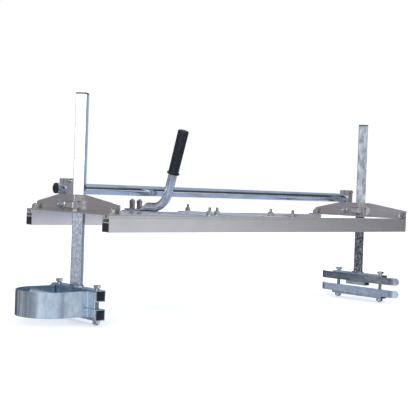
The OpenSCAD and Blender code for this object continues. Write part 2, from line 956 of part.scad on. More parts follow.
module left_lower_bar_plugs() {
    on_floor() color(black) at_post(left) bar_plugs(lower_top);
}

module left_clamp_nuts() {
    on_floor() color(zinc) at_post(left) clamp_nuts();
}

module right_post() {
    on_floor() color(zinc) at_post(right) post();
}

module right_post_cap() {
    on_floor() color(black) at_post(right) post_cap();
}

module right_upper_bar() {
    on_floor() color(zinc) at_post(right) upper_bar();
}

module right_upper_bar_plugs() {
    on_floor() color(black) at_post(right) bar_plugs(upper_top);
}

module right_clamp_bolts() {
    on_floor() color(zinc) at_post(right) clamp_bolts();
}

module right_upper_wear_strip() {
    on_floor() color(zinc) at_post(right) wear_strip(upper_top - upper_strip_drop - strip_height / 2);
}

// Short box section under the upper bar, so that the clamp grips only the flat of a saw bar
module clamp_pad() {
    on_floor() color(zinc) at_post(right)
        translate([0, pad_length / 2, upper_bottom - pad_height / 2]) rotate([90, 0, 0])
            linear_extrude(pad_length) difference() {
                square([bar_side - 2 * tube_corner, pad_height], center = true);
                square([bar_side - 2 * tube_corner - 2 * pad_wall, pad_height - 2 * pad_wall],
                       center = true);
            }
}

module right_lower_bar() {
    on_floor() color(zinc) at_post(right) clamp_bar(lower_top);
}

module right_lower_bar_plugs() {
    on_floor() color(black) at_post(right) bar_plugs(lower_top);
}

module right_clamp_nuts() {
    on_floor() color(zinc) at_post(right) clamp_nuts();
}

module right_lower_wear_strip() {
    on_floor() color(zinc) at_post(right)
        wear_strip(lower_top + lower_strip_rise - strip_height / 2);
}

// Push bar

push_bar_start = -post_pitch / 2 - web_setback - push_bar_tail;
push_bar_end = post_pitch / 2 + clamp_block_end;

module along_push_bar(x) {
    translate([x, push_bar_y, push_bar_level]) rotate([0, 90, 0]) children();
}

module push_bar() {
    length = push_bar_end - push_bar_start;
    on_floor() color(zinc) along_push_bar(push_bar_start) difference() {
        cylinder(d = push_bar_d, h = length);
        translate([0, 0, -1]) cylinder(d = push_bar_d - 2 * push_bar_wall, h = length + 2);
    }
}

// Cap on a tube end, standing on Z = 0 with its stem below
module round_cap() {
    stem = push_bar_d / 2 - push_bar_wall - plug_gap;
    rotate_extrude()
        polygon([
            [0, -plug_depth], [stem, -plug_depth], [stem, 0], [push_bar_d / 2, 0],
            [push_bar_d / 2, bar_cap / 2], [push_bar_d / 2 - bar_cap / 2, bar_cap], [0, bar_cap]
        ]);
}

module push_bar_caps() {
    on_floor() color(black) {
        along_push_bar(push_bar_end) round_cap();
        along_push_bar(push_bar_start) mirror([0, 0, 1]) round_cap();
    }
}

// Handle and its plate

front_bolts_x = [-front_bolt_pitch / 2, front_bolt_pitch / 2];
inner_bolt_y = slot_y - handle_bolt_pitch;

module at_rail(x) {
    translate([rail_start + x, 0, 0]) children();
}

module plate(width, holes) {
    difference() {
        linear_extrude(plate_thickness)
            bevelled_rectangle(width, mill_width, plate_thickness / 2);
        for (p = holes) translate([p.x, p.y, 0]) slot_bolt_hole();
    }
}

module handle_plate() {
    holes = [
        [0, slot_y], [0, inner_bolt_y],
        [front_bolts_x[0], -slot_y], [front_bolts_x[1], -slot_y]
    ];
    on_floor() color(zinc) at_rail(handle_x) plate(handle_plate_width, holes);
}

// Ring-shaped cross-section of the handle tube, a little fuller in the bend
module handle_section(swell = 0) {
    difference() {
        circle(d = handle_d + 2 * swell);
        circle(d = handle_d - 2 * handle_wall - 2 * swell);
    }
}

// Puts children on the end of the bend, with +Z along the neck
module at_neck() {
    translate([0, corner_y, handle_axis_z + handle_bend])
        rotate([handle_lean, 0, 0]) translate([0, -handle_bend, 0]) children();
}

module handle_flat() {
    round_y = handle_tip_y - flat_width / 2;
    inset = 0.3;
    hull() {
        translate([0, flat_start_y - 1, handle_axis_z]) rotate([-90, 0, 0])
            cylinder(d = handle_d - 2 * inset, h = inset, $fn = 32);
        translate([inset - flat_width / 2, flat_y + 1, plate_thickness + inset])
            cube([flat_width - 2 * inset, inset, flat_thickness - 2 * inset]);
    }
    translate([0, 0, plate_thickness]) linear_extrude(flat_thickness) {
        translate([-flat_width / 2, flat_y]) square([flat_width, round_y - flat_y]);
        translate([0, round_y]) circle(d = flat_width);
    }
}

module handle_tube() {
    swell = 0.15;
    lap = 1.5;
    neck = handle_neck + grip_length - collar_height;
    on_floor() color(zinc) at_rail(handle_x) difference() {
        union() {
            at_neck() translate([0, 0, -lap]) linear_extrude(neck + lap) handle_section();
            translate([0, corner_y, handle_axis_z + handle_bend]) rotate([90, 0, 90])
                rotate([0, 0, -90 - handle_turn]) rotate_extrude(angle = handle_turn)
                    translate([handle_bend, 0]) handle_section(swell);
            translate([0, flat_start_y, handle_axis_z]) rotate([90, 0, 0])
                linear_extrude(flat_start_y - corner_y + lap) handle_section();
            handle_flat();
        }
        for (y = [slot_y, inner_bolt_y])
            translate([0, y, 0]) cylinder(d = slot_bolt_d + 2 * bolt_gap, h = handle_d);
    }
}

// Moulded grip, closed at its end, with a collar at its foot
module handle_grip() {
    inner = handle_d / 2 + plug_gap;
    outer = grip_d / 2;
    round_points = [
        for (a = [0:15:90])
            [outer - grip_round + grip_round * cos(a), grip_length - grip_round + grip_round * sin(a)]
    ];
    on_floor() color(black) at_rail(handle_x) at_neck() translate([0, 0, handle_neck])
        rotate_extrude()
            polygon(concat(
                [[inner, 0], [collar_d / 2 - 1, 0], [collar_d / 2, 1],
                 [collar_d / 2, collar_height - 1], [collar_d / 2 - 1, collar_height],
                 [outer, collar_height]],
                round_points,
                [[0, grip_length], [0, grip_length - collar_height + plug_gap],
                 [inner, grip_length - collar_height + plug_gap]]
            ));
}

// Slot bolt at the outer hole and a hexagon bolt from below at the inner one
module handle_bolts() {
    stack = plate_thickness + flat_thickness;
    length = stack + tall_nut_height + bolt_tip;
    on_floor() color(zinc) at_rail(handle_x) {
        translate([0, slot_y, 0]) {
            translate([0, 0, -lip_thickness - slot_head_height / 2])
                cube([slot_head_length, cavity_width - 2 * slot_head_gap, slot_head_height],
                     center = true);
            translate([0, 0, -lip_thickness - hair])
                shank(slot_bolt_d, lip_thickness + length + hair);
        }
        translate([0, inner_bolt_y, 0]) {
            translate([0, 0, -nut_height]) hexagon(nut_af, nut_height);
            translate([0, 0, -hair]) shank(slot_bolt_d, length + hair);
        }
    }
}

module handle_tall_nuts() {
    on_floor() color(zinc) at_rail(handle_x)
        for (y = [slot_y, inner_bolt_y])
            translate([0, y, plate_thickness + flat_thickness])
                hex_nut(tall_nut_af, tall_nut_height, slot_bolt_d);
}

module handle_plate_bolts() {
    on_floor() color(zinc) at_rail(handle_x)
        for (x = front_bolts_x)
            translate([x, -slot_y, 0]) slot_bolt(plate_thickness, plate_bolt_tip);
}

module handle_plate_nuts() {
    on_floor() color(zinc) at_rail(handle_x)
        for (x = front_bolts_x) translate([x, -slot_y, 0]) washer_nut(plate_thickness);
}

// Cross plate and stop bolt

module cross_plate() {
    on_floor() color(aluminium) at_rail(cross_plate_x)
        plate(cross_plate_width, [[0, -slot_y], [0, slot_y]]);
}

module cross_plate_bolts() {
    on_floor() color(zinc) at_rail(cross_plate_x)
        for (s = [-1, 1])
            translate([0, s * slot_y, 0]) slot_bolt(plate_thickness, plate_bolt_tip);
}

module cross_plate_nuts() {
    on_floor() color(zinc) at_rail(cross_plate_x)
        for (s = [-1, 1]) translate([0, s * slot_y, 0]) washer_nut(plate_thickness);
}

module stop_bolt() {
    on_floor() color(zinc) at_rail(stop_x)
        translate([0, -slot_y, 0]) slot_bolt(0, plate_bolt_tip);
}

module stop_nut() {
    on_floor() color(zinc) at_rail(stop_x) translate([0, -slot_y, 0]) washer_nut(0);
}

front_rail();
rear_rail();
rail_end_plugs();
left_bracket();
left_bracket_bolts();
left_bracket_nuts();
left_vee_block();
left_strap();
left_strap_bolt();
left_strap_nut();
left_clamp_block();
left_pinch_bolt();
left_pinch_nut();
right_bracket();
right_bracket_bolts();
right_bracket_nuts();
right_vee_block();
right_strap();
right_strap_bolt();
right_strap_nut();
right_clamp_block();
right_pinch_bolt();
right_pinch_nut();
left_post();
left_post_cap();
left_upper_bar();
left_upper_bar_plugs();
left_clamp_bolts();
nose_guard();
left_lower_bar();
left_lower_bar_plugs();
left_clamp_nuts();
right_post();
right_post_cap();
right_upper_bar();
right_upper_bar_plugs();
right_clamp_bolts();
right_upper_wear_strip();
clamp_pad();
right_lower_bar();
right_lower_bar_plugs();
right_clamp_nuts();
right_lower_wear_strip();
push_bar();
push_bar_caps();
handle_plate();
handle_tube();
handle_grip();
handle_bolts();
handle_tall_nuts();
handle_plate_bolts();
handle_plate_nuts();
cross_plate();
cross_plate_bolts();
cross_plate_nuts();
stop_bolt();
stop_nut();
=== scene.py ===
"""Looks of a chainsaw mill: slotted rails, square posts with bar clamps, a push bar and a handle.

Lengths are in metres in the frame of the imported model: X along the rails, Y across them, Z up.
"""
import json
import logging
import math
from dataclasses import dataclass, field
from enum import Enum
from typing import ClassVar

import bmesh
import bpy
import numpy as np
from mathutils import Matrix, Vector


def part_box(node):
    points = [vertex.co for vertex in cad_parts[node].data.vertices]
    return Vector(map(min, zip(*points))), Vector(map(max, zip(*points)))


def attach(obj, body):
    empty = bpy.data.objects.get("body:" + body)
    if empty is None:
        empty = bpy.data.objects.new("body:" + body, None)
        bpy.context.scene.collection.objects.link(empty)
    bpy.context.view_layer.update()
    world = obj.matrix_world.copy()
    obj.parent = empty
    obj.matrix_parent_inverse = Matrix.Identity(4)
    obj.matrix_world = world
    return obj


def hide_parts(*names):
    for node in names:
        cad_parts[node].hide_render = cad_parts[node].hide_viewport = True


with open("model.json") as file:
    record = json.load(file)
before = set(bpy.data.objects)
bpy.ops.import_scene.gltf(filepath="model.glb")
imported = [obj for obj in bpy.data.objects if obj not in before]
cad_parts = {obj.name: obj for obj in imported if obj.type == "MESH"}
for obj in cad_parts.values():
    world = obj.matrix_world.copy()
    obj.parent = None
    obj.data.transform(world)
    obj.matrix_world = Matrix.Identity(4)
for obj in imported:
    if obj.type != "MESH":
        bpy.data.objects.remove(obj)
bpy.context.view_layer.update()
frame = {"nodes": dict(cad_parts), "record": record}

MM = 0.001
CREASE = 32.0                       # degrees over which an edge stays sharp
STRIP_CREASE = 28.0                 # the same on rolled strip
FLUSH = 0.4                         # degrees up to which two faces count as one
NOISE_LOW, NOISE_HIGH = 0.35, 0.65  # the span that a noise mostly keeps to
BODY_OF = {node: body for body, nodes in frame["record"]["behaviour"]["bodies"].items()
           for node in nodes}
log = logging.getLogger("chainsaw_mill")

Tree = bpy.types.NodeTree
Node = bpy.types.Node
Socket = bpy.types.NodeSocket
Box = tuple[np.ndarray, np.ndarray]  # lowest and highest corner
Place = tuple | np.ndarray           # a point or a direction


class Axis(Enum):
    """An axis of the model, by its number."""

    X = 0
    Y = 1
    Z = 2


class Side(Enum):
    """The end of the mill that a sub-assembly belongs to."""

    LEFT = "left"
    RIGHT = "right"

    def node(self, part: str) -> str:
        """Name of the node of a part at this end."""
        return f"{self.value}_{part}"


# Colours and node trees

def linear(code: str) -> tuple[float, float, float, float]:
    """Turns an sRGB hex colour into a linear one.

    Args:
        code: the colour as "#rrggbb".

    Returns:
        Red, green, blue and an alpha of 1.
    """
    channels = [int(code[i:i + 2], 16) / 255 for i in (1, 3, 5)]
    red, green, blue = (c / 12.92 if c <= 0.04045 else ((c + 0.055) / 1.055) ** 2.4
                        for c in channels)
    return red, green, blue, 1.0


def add_node(tree: Tree, kind: str, links: dict | None = None,
             stops: tuple | list = (), **settings) -> Node:
    """Adds a shader node with its settings and links.

    Args:
        tree: the tree that gets the node.
        kind: the node's type, after the word ShaderNode.
        links: for an input's name or number, its value, the output that feeds it, or the node
            whose first output in use feeds it.
        stops: positions and hex colours of a colour ramp.
        settings: the node's own options.

    Returns:
        The new node.
    """
    node = tree.nodes.new("ShaderNode" + kind)
    for option, value in settings.items():
        setattr(node, option, value)
    for key, value in (links or {}).items():
        named = [socket for socket in node.inputs if socket.enabled and socket.name == key]
        target = named[0] if named else node.inputs[key]
        if isinstance(value, Node):
            value = next(output for output in value.outputs if output.enabled)
        if isinstance(value, Socket):
            tree.links.new(value, target)
        else:
            target.default_value = value
    for index, (position, colour) in enumerate(stops):
        ramp = node.color_ramp
        stop = ramp.elements[index] if index < len(ramp.elements) else ramp.elements.new(position)
        stop.position, stop.color = position, linear(colour)
    return node


def cleared(owner: bpy.types.Material | bpy.types.World) -> Tree:
    """Empties the node tree of a material or world.

    Args:
        owner: the material or world.

    Returns:
        Its tree.
    """
    owner.use_nodes = True
    owner.node_tree.nodes.clear()
    return owner.node_tree


def per(size_mm: float) -> float:
    """Scale of a noise in metres whose features are so many millimetres wide."""
    return 1 / (size_mm * MM)


def lines_along(tree: Tree, place: Socket, along: Axis, width_mm: float) -> Node:
    """Makes a noise that is so narrow across a direction and 60 times as long along it.

    Args:
        tree: the tree that gets the nodes.
        place: the coordinates.
        along: the direction of the lines.
        width_mm: how wide a line is.

    Returns:
        The noise, about 0.5 on average.
    """
    scale = [per(width_mm)] * 3
    scale[along.value] /= 60
    stretched = add_node(tree, "VectorMath", {0: place, 1: scale}, operation="MULTIPLY")
    return add_node(tree, "TexNoise", {
        "Vector": stretched, "Scale": 1.0, "Detail": 3.0, "Roughness": 0.6})


# Finishes

@dataclass(frozen=True)
class Finish:
    """A finish that is made once and shared by every piece that has it."""

    name: str

    def material(self) -> bpy.types.Material:
        """Makes the material, or finds it again.

        Returns:
            The material with its node tree.
        """
        found = bpy.data.materials.get(self.name)
        if found:
            return found
        made = bpy.data.materials.new(self.name)
        tree = cleared(made)
        shader = add_node(tree, "BsdfPrincipled", self.paint(tree))
        add_node(tree, "OutputMaterial", {"Surface": shader})
        return made

    def paint(self, tree: Tree) -> dict:
        """Gives what feeds the shader's inputs; each kind of finish has its own."""
        raise NotImplementedError


@dataclass(frozen=True)
class ZincPlate(Finish):
    """Steel with bright blue-passivated zinc: cool white, cloudy, with small dull specks.

    The clouds come from the plating bath and run with the lines that drawing or rolling left.
    Below a given height it is darker: partly a stain, partly painted shade under the rails.
    """

    light: str
    shade: str
    speck: str
    cloud_mm: float
    speck_mm: float
    speck_share: float
    line_mm: float
    along: Axis
    smooth: float
    dull: float
    metallic: float = 0.88
    # Darker below a height (tone, share, top, fade, hold): partly stain, partly painted shade
    stain_and_shade: str = "#a3afb9"
    stain_and_shade_share: float = 0.0
    stain_and_shade_top: float = 0.285
    stain_and_shade_fade: float = 0.035
    stain_and_shade_hold: float = 0.45

    def tint(self, tree: Tree, place: Socket, colour: Node) -> Node:
        """Changes the colour at the end; plain zinc leaves it as it is."""
        return colour

    def paint(self, tree: Tree) -> dict:
        """Clouds mix the light and dark tone, fine noise the specks, height stain and painted
        shade.

        Args:
            tree: the tree that gets the nodes.

        Returns:
            What feeds the shader's inputs.
        """
        place = add_node(tree, "TexCoord").outputs["Object"]
        stretch = [1.0] * 3
        stretch[self.along.value] = 0.4
        drawn = add_node(tree, "VectorMath", {0: place, 1: stretch}, operation="MULTIPLY")
        clouds = add_node(tree, "TexNoise", {
            "Vector": drawn, "Scale": per(self.cloud_mm), "Detail": 5.0, "Roughness": 0.62})
        tone = add_node(tree, "ValToRGB", {"Fac": clouds},
                        stops=((0.36, self.shade), (0.62, self.light)))
        fine = add_node(tree, "TexNoise", {
            "Vector": drawn, "Scale": per(self.speck_mm), "Detail": 3.0, "Roughness": 0.55})
        specks = add_node(tree, "MapRange", {
            "Value": fine, "From Min": 0.60, "From Max": 0.70, "To Max": self.speck_share})
        height = add_node(tree, "SeparateXYZ", {0: place}).outputs["Z"]
        # Below a set height the colour darkens: partly a stain, partly painted shade under the
        # rails and brackets
        low = add_node(tree, "MapRange", {
            "Value": height, "From Min": self.stain_and_shade_top,
            "From Max": self.stain_and_shade_top - self.stain_and_shade_fade, "To Max": self.stain_and_shade_share})
        patchy = add_node(tree, "MapRange", {
            "Value": fine, "From Min": 0.38, "From Max": 0.52, "To Min": self.stain_and_shade_hold})
        stain_and_shade_mask = add_node(tree, "Math", {0: low, 1: patchy}, operation="MULTIPLY")
        stained_and_shaded = add_node(tree, "Mix", {"Factor": stain_and_shade_mask, "A": tone, "B": linear(self.stain_and_shade)},
                           data_type="RGBA")
        specked = add_node(tree, "Mix", {"Factor": specks, "A": stained_and_shaded, "B": linear(self.speck)},
                           data_type="RGBA")
        gloss = add_node(tree, "MapRange", {
            "Value": clouds, "From Min": NOISE_LOW, "From Max": NOISE_HIGH,
            "To Min": self.dull, "To Max": self.smooth})
        rough = add_node(tree, "Math", {0: specks, 1: 0.25, 2: gloss}, operation="MULTIPLY_ADD")
        lines = lines_along(tree, place, self.along, self.line_mm)
        relief = add_node(tree, "Math", {0: lines, 1: 0.4, 2: fine}, operation="MULTIPLY_ADD")
        bump = add_node(tree, "Bump", {
            "Height": relief, "Strength": 0.3, "Distance": 0.04 * MM})
        return {"Metallic": self.metallic, "Base Color": self.tint(tree, place, specked),
                "Roughness": rough, "Normal": bump}


@dataclass(frozen=True)
class StreakedZinc(ZincPlate):
    """Zinc strip darker in streaks on one side; on the nose guard they are painted reflections."""

    # Tone, width and share of the dark streaks, painted reflection on the nose guard
    smoke: str = "#4f4a50"
    smoke_mm: float = 5.0
    smoke_share: float = 0.7
    towards: tuple = (-0.758, 0.652, 0.0)
    start: float = 0.39
    end: float = 0.45
    gap: float = 0.42
    streak_edge: float = 0.24

    def tint(self, tree: Tree, place: Socket, colour: Node) -> Node:
        """Mixes in a brown by streaks along the strip, the more the farther out a point lies.

        Args:
            tree: the tree that gets the nodes.
            place: the coordinates.
            colour: the colour so far.

        Returns:
            The colour with its streaks.
        """
        # The darker side and its streaks: painted reflection of dark walls on the nose guard
        out = add_node(tree, "VectorMath", {0: place, 1: self.towards}, operation="DOT_PRODUCT")
        side = add_node(tree, "MapRange", {
            "Value": out, "From Min": self.start, "From Max": self.end,
            "To Max": self.smoke_share})
        streaks = add_node(tree, "MapRange", {
            "Value": lines_along(tree, place, self.along, self.smoke_mm),
            "From Min": self.gap, "From Max": self.gap + self.streak_edge})
        share = add_node(tree, "Math", {0: side, 1: streaks}, operation="MULTIPLY")
        return add_node(tree, "Mix", {"Factor": share, "A": colour, "B": linear(self.smoke)},
                        data_type="RGBA")


@dataclass(frozen=True)
class LinedMetal(Finish):
    """Bare metal with lines in one direction, from a die or from a brushing belt."""

    light: str
    shade: str
    line_mm: float
    band_mm: float
    contrast: float
    relief_mm: float
    along: Axis
    smooth: float
    dull: float
    metallic: float = 1.0
    smudge_mm: float = 35.0

    def paint(self, tree: Tree) -> dict:
        """Lines and wider bands mix two tones, and a soft cloud of handling changes the gloss.

        Args:
            tree: the tree that gets the nodes.

        Returns:
            What feeds the shader's inputs.
        """
        place = add_node(tree, "TexCoord").outputs["Object"]
        lines = lines_along(tree, place, self.along, self.line_mm)
        bands = lines_along(tree, place, self.along, self.band_mm)
        smudge = add_node(tree, "TexNoise", {
            "Vector": place, "Scale": per(self.smudge_mm), "Detail": 4.0, "Roughness": 0.6})
        mixed = add_node(tree, "Mix", {"Factor": 0.5, "A": lines, "B": bands})
        reach = 0.3 / (0.5 + self.contrast)
        tone = add_node(tree, "MapRange", {
            "Value": mixed, "From Min": 0.5 - reach, "From Max": 0.5 + reach})
        colour = add_node(tree, "Mix", {
            "Factor": tone, "A": linear(self.shade), "B": linear(self.light)}, data_type="RGBA")
        gloss = add_node(tree, "MapRange", {
            "Value": smudge, "From Min": NOISE_LOW, "From Max": NOISE_HIGH,
            "To Min": self.smooth, "To Max": self.dull})
        bump = add_node(tree, "Bump", {
            "Height": lines, "Strength": 0.5, "Distance": self.relief_mm * MM})
        return {"Metallic": self.metallic, "Base Color": colour, "Roughness": gloss,
                "Normal": bump}


@dataclass(frozen=True)
class MouldedPlastic(Finish):
    """Black plastic with the fine grain of its mould, a little greyer where it is rubbed."""

    base: str = "#14151b"
    worn: str = "#24252e"
    grain_mm: float = 0.5
    relief_mm: float = 0.05
    smooth: float = 0.34
    dull: float = 0.5
    wear_mm: float = 9.0

    def paint(self, tree: Tree) -> dict:
        """A cloudy wear mixes two blacks, and a fine noise makes the grain and its gloss.

        Args:
            tree: the tree that gets the nodes.

        Returns:
            What feeds the shader's inputs.
        """
        place = add_node(tree, "TexCoord").outputs["Object"]
        wear = add_node(tree, "TexNoise", {
            "Vector": place, "Scale": per(self.wear_mm), "Detail": 4.0, "Roughness": 0.6})
        colour = add_node(tree, "ValToRGB", {"Fac": wear},
                          stops=((0.4, self.base), (0.66, self.worn)))
        grain = add_node(tree, "TexNoise", {
            "Vector": place, "Scale": per(self.grain_mm), "Detail": 2.0})
        gloss = add_node(tree, "MapRange", {
            "Value": grain, "From Min": NOISE_LOW, "From Max": NOISE_HIGH,
            "To Min": self.smooth, "To Max": self.dull})
        bump = add_node(tree, "Bump", {
            "Height": grain, "Strength": 0.5, "Distance": self.relief_mm * MM})
        return {"Base Color": colour, "Roughness": gloss, "Normal": bump}


# After its tones, a row of lined metal gives the widths of lines and bands, the contrast, the
# relief, the direction, the roughness where smooth and where dull, and how metallic it is. A row
# of zinc gives the widths of clouds and specks, the share of specks, the width of lines, the
# direction, the same roughnesses, how metallic it is, and the tone and share of its stain, which
# is partly painted shade. Widths and relief are in millimetres

# Clear anodised 6063 extrusion: satin grey with faint lines from the die, wider than real ones to
# show; the oxide layer scatters part of the light, so it is less metallic than bare metal
RAIL_METAL = LinedMetal("clear_anodised_extrusion", "#f0efee", "#e2e1e0", 0.8, 6.0, 0.3, 0.004,
                        Axis.X, 0.24, 0.27, 0.84)
# The same section on the rear rail: lighter and more lilac, as painted light from the bounce
# behind it
REAR_RAIL_METAL_PAINTED_LIGHTER = LinedMetal("anodised_extrusion_painted_lighter", "#f6f4f9", "#ebe9ef", 0.8, 6.0, 0.3, 0.004,
                             Axis.X, 0.21, 0.25, 0.85)
# Belt-brushed stainless sheet: warm grey, fine lines along the sheet, broader than the real grit
SHEET_STEEL = LinedMetal("brushed_stainless_sheet", "#dedad8", "#b9b5b3", 0.5, 3.5, 0.8, 0.01,
                         Axis.Y, 0.28, 0.32, 0.95)
# Milled flat bar of the clamp and vee blocks: the same steel, lighter, with lines across the bore
BLOCK_STEEL = LinedMetal("milled_stainless_block", "#e6e3e0", "#bdb9b6", 0.5, 3.0, 0.7, 0.01,
                         Axis.Y, 0.28, 0.34, 0.9)
# Aluminium flat of the cross plate: bright and plain, cut from drawn bar
PLATE_METAL = LinedMetal("drawn_aluminium_flat", "#eae9ef", "#d8d7de", 0.6, 4.0, 0.4, 0.006,
                         Axis.Y, 0.30, 0.35, 0.4)
# Zinc plated square tube, drawn upright: near white with faint clouds as painted highlight,
# and grey-blue below the rails, partly stain and partly painted shade
LEFT_POST_ZINC_PAINTED_HIGHLIGHT = ZincPlate("zinc_post_tube_painted_highlight", "#eef2f6", "#d3dbe1", "#59626c",
                           8, 2.4, 0.5, 1.1, Axis.Z, 0.10, 0.2, 0.92, "#93a0ab", 0.85)
# The same tube with blue-grey clouds, and dark and pitted below the rails, partly stain and
# partly painted shade
RIGHT_POST_ZINC = ZincPlate("clouded_zinc_post_tube", "#e3eaef", "#8f9ea9", "#34383f",
                            10, 2.6, 0.7, 1.1, Axis.Z, 0.12, 0.24, 0.92, "#40373b", 0.95,
                            stain_and_shade_hold=0.35)
# The tube lying across the mill as clamp bar: teal-grey clouds
BAR_ZINC = ZincPlate("zinc_plated_clamp_tube", "#c6dae4", "#96acbb", "#4c5560",
                     9, 1.9, 0.4, 1.1, Axis.Y, 0.12, 0.24)
# Hot-rolled flat of the handle plate, plated evenly
FLAT_ZINC = ZincPlate("zinc_plated_handle_flat", "#d6e0e9", "#bac7d2", "#6d7681",
                      14, 1.6, 0.25, 1.1, Axis.Y, 0.12, 0.22, 0.85)
# Smooth round tube, plated bright enough to mirror the room in bands
TUBE_ZINC = ZincPlate("bright_zinc_round_tube", "#dde6ef", "#c6d1dc", "#7a8490",
                      18, 1.6, 0.1, 0.9, Axis.X, 0.05, 0.1, 0.97)
# The same tube bent for the handle, its passivation nearly colourless
HANDLE_ZINC = ZincPlate("clear_zinc_bent_tube", "#eff1f2", "#d6dade", "#7b7f86",
                        16, 1.6, 0.15, 0.9, Axis.X, 0.04, 0.09, 0.97)
# Rolled strip with a colder, bluer passivation, darker in streaks at its outer side as painted
# reflection
GUARD_ZINC = StreakedZinc("zinc_rolled_strip_painted_reflection", "#d5e4f0", "#bccedd", "#8996a5",
                        14, 1.7, 0.15, 1.4, Axis.Z, 0.10, 0.17, 0.85)
# The wear strips: steel-blue, the upper one darker, with dark streaks towards +Y
UPPER_WEAR_ZINC = StreakedZinc("streaked_zinc_flat_strip", "#b9c3cc", "#96a0ab", "#454a5c",
                             12, 1.7, 0.3, 1.2, Axis.Y, 0.12, 0.22, 0.9, smoke="#565e74",
                             smoke_mm=9, towards=(0.0, 1.0, 0.0), start=-0.09, end=0.03, gap=0.26)
LOWER_WEAR_ZINC = ZincPlate("steel_blue_zinc_flat_strip", "#d5e5fa", "#bcd0ea", "#74809a",
                            12, 1.7, 0.1, 1.2, Axis.Y, 0.12, 0.22, 0.85)
# Small turned and rolled fasteners: bright zinc with fine specks
BOLT_ZINC = ZincPlate("bright_zinc_fastener", "#e0e2e1", "#adb1b2", "#5a5d61",
                      3.5, 0.9, 0.4, 0.35, Axis.Z, 0.05, 0.12, 0.94)
# Pressed strap in the same bright zinc, with lines along it
STRAP_ZINC = ZincPlate("bright_zinc_strap", "#eef5f7", "#c9d6dc", "#5b646d",
                       6, 1.2, 0.3, 0.8, Axis.Y, 0.10, 0.2, 0.8)
# Turned tall nuts, thinly plated: the grey of the steel shows
NUT_ZINC = ZincPlate("thin_zinc_tall_nut", "#b4b0ae", "#8a8786", "#47464a",
                     3.5, 0.7, 0.3, 0.35, Axis.Z, 0.16, 0.28, 0.95)
# Zinc over a hand-laid weld: greyer, because the plating is thin on the ripples
WELD_ZINC = ZincPlate("zinc_plated_weld", "#c4cdd3", "#87919a", "#414850",
                      3.0, 0.8, 0.5, 0.5, Axis.Z, 0.22, 0.36)
# Moulded polyethylene caps and plugs: black, faintly grained
CAP_PLASTIC = MouldedPlastic("black_polyethylene_cap")
# Soft PVC grip: black with a blue cast, its grain drawn twice as coarse as real to show
GRIP_VINYL = MouldedPlastic("black_vinyl_grip", "#171820", "#292a35", 0.9, 0.12, 0.38, 0.56)


# Shapes

UP = (0, 0, 1)
STEEP = 0.9                         # the rise from which a unit direction counts as upright
SIDES = 48                          # points around a turned form


def around(sides: int) -> np.ndarray:
    """Angles of evenly spaced points around a circle."""
    return np.arange(sides) * 2 * np.pi / sides


def axes_along(axis: Place) -> np.ndarray:
    """Finds three axes square to each other, the last of them along a direction.

    Args:
        axis: the direction.

    Returns:
        The axes, one in each row.
    """
    up = np.array(axis, float) / np.linalg.norm(axis)
    across = np.cross((0, 1, 0) if abs(up[2]) > STEEP else UP, up)
    across /= np.linalg.norm(across)
    return np.array([across, np.cross(up, across), up])


def lathe(profile: list, sides: int = SIDES) -> np.ndarray:
    """Rings of a turned form: radius times the cosine and sine of the angle, height along Z.

    Args:
        profile: pairs of radius and height.
        sides: points around.

    Returns:
        The rings, one row for each pair.
    """
    angle = around(sides)
    radius, height = np.array(profile, float).T[:, :, None]
    return np.stack([radius * np.cos(angle), radius * np.sin(angle),
                     height * np.ones_like(angle)], -1)


def hexagon(flats: float, height: float, bore: float = 0.0, chamfer: float = 0.475) -> np.ndarray:
    """Rings of a hexagon nut or head.

    Its side lies at half the width over flats, divided by the cosine of the angle to the nearest
    flat; a cone of 30 degrees turns its corners down at both ends.

    Args:
        flats: width over flats.
        height: height along Z.
        bore: radius of its hole, whose rings close on themselves; without one the top has a
            shallow pressed dimple.
        chamfer: radius of its flat ends, as a share of the width over flats.

    Returns:
        The rings.
    """
    angle = around(SIDES)
    side = flats / 2 / np.cos(angle % (np.pi / 3) - np.pi / 6)
    face = chamfer * flats
    drop = (side - face) * math.tan(math.radians(30))
    edge = 0.04 * flats
    rows = [(face, 0), (side, drop), (side, height - drop), (face, height)]
    if bore:
        rows += [(bore + edge, height), (bore, height - edge), (bore, edge), (bore + edge, 0)]
    else:
        rows += [(0.62 * face, height), (0.54 * face, height - edge / 2)]
    radius, level = (np.array([row[k] * np.ones(SIDES) for row in rows]) for k in (0, 1))
    return np.stack([radius * np.cos(angle), radius * np.sin(angle), level], -1)


def washer(radius: float, bore: float, thickness: float) -> np.ndarray:
    """Rings of a stamped washer: a lathe form, cut off at 45 degrees on its upper edges.

    Args:
        radius: outer radius.
        bore: radius of its hole, around which the rings close on themselves.
        thickness: height along Z.

    Returns:
        The rings.
    """
    edge = 0.3 * thickness
    return lathe([(bore, 0), (radius, 0), (radius, thickness - edge),
                  (radius - edge, thickness), (bore + edge, thickness), (bore, thickness - edge)])


@dataclass(frozen=True)
class Thread:
    """A metric thread: its depth is a share of the pitch, and its tip narrows by a bevel."""

    diameter: float
    pitch: float
    depth: float = 0.54
    bevel: float = 1.2
    sides: int = 28
    rows_per_turn: int = 8

    def rod(self, start: float, bare: float, end: float) -> np.ndarray:
        """Rings of a rod along Z, plain at first and threaded up to a bevelled end.

        At height z and angle a the groove is a trapezium wave of z / pitch - a / (2 pi), which
        grows over the first turn.

        Args:
            start: where the rod begins.
            bare: where the thread begins.
            end: the tip.

        Returns:
            The rings.
        """
        radius, depth = self.diameter / 2, self.depth * self.pitch
        angle = around(self.sides)
        steps = max(1, round((end - bare) / self.pitch * self.rows_per_turn))
        level = np.concatenate([[start], np.linspace(bare, end, steps + 1)])[:, None]
        wave = np.abs(2 * ((level / self.pitch - angle / (2 * np.pi)) % 1) - 1)
        groove = np.clip(1.6 * wave - 0.3, 0, 1) * np.clip((level - bare) / self.pitch, 0, 1)
        tip = radius - depth + self.bevel * (end - level)
        size = np.minimum(radius - depth * groove, tip)
        return np.stack([size * np.cos(angle), size * np.sin(angle),
                         level * np.ones_like(angle)], -1)


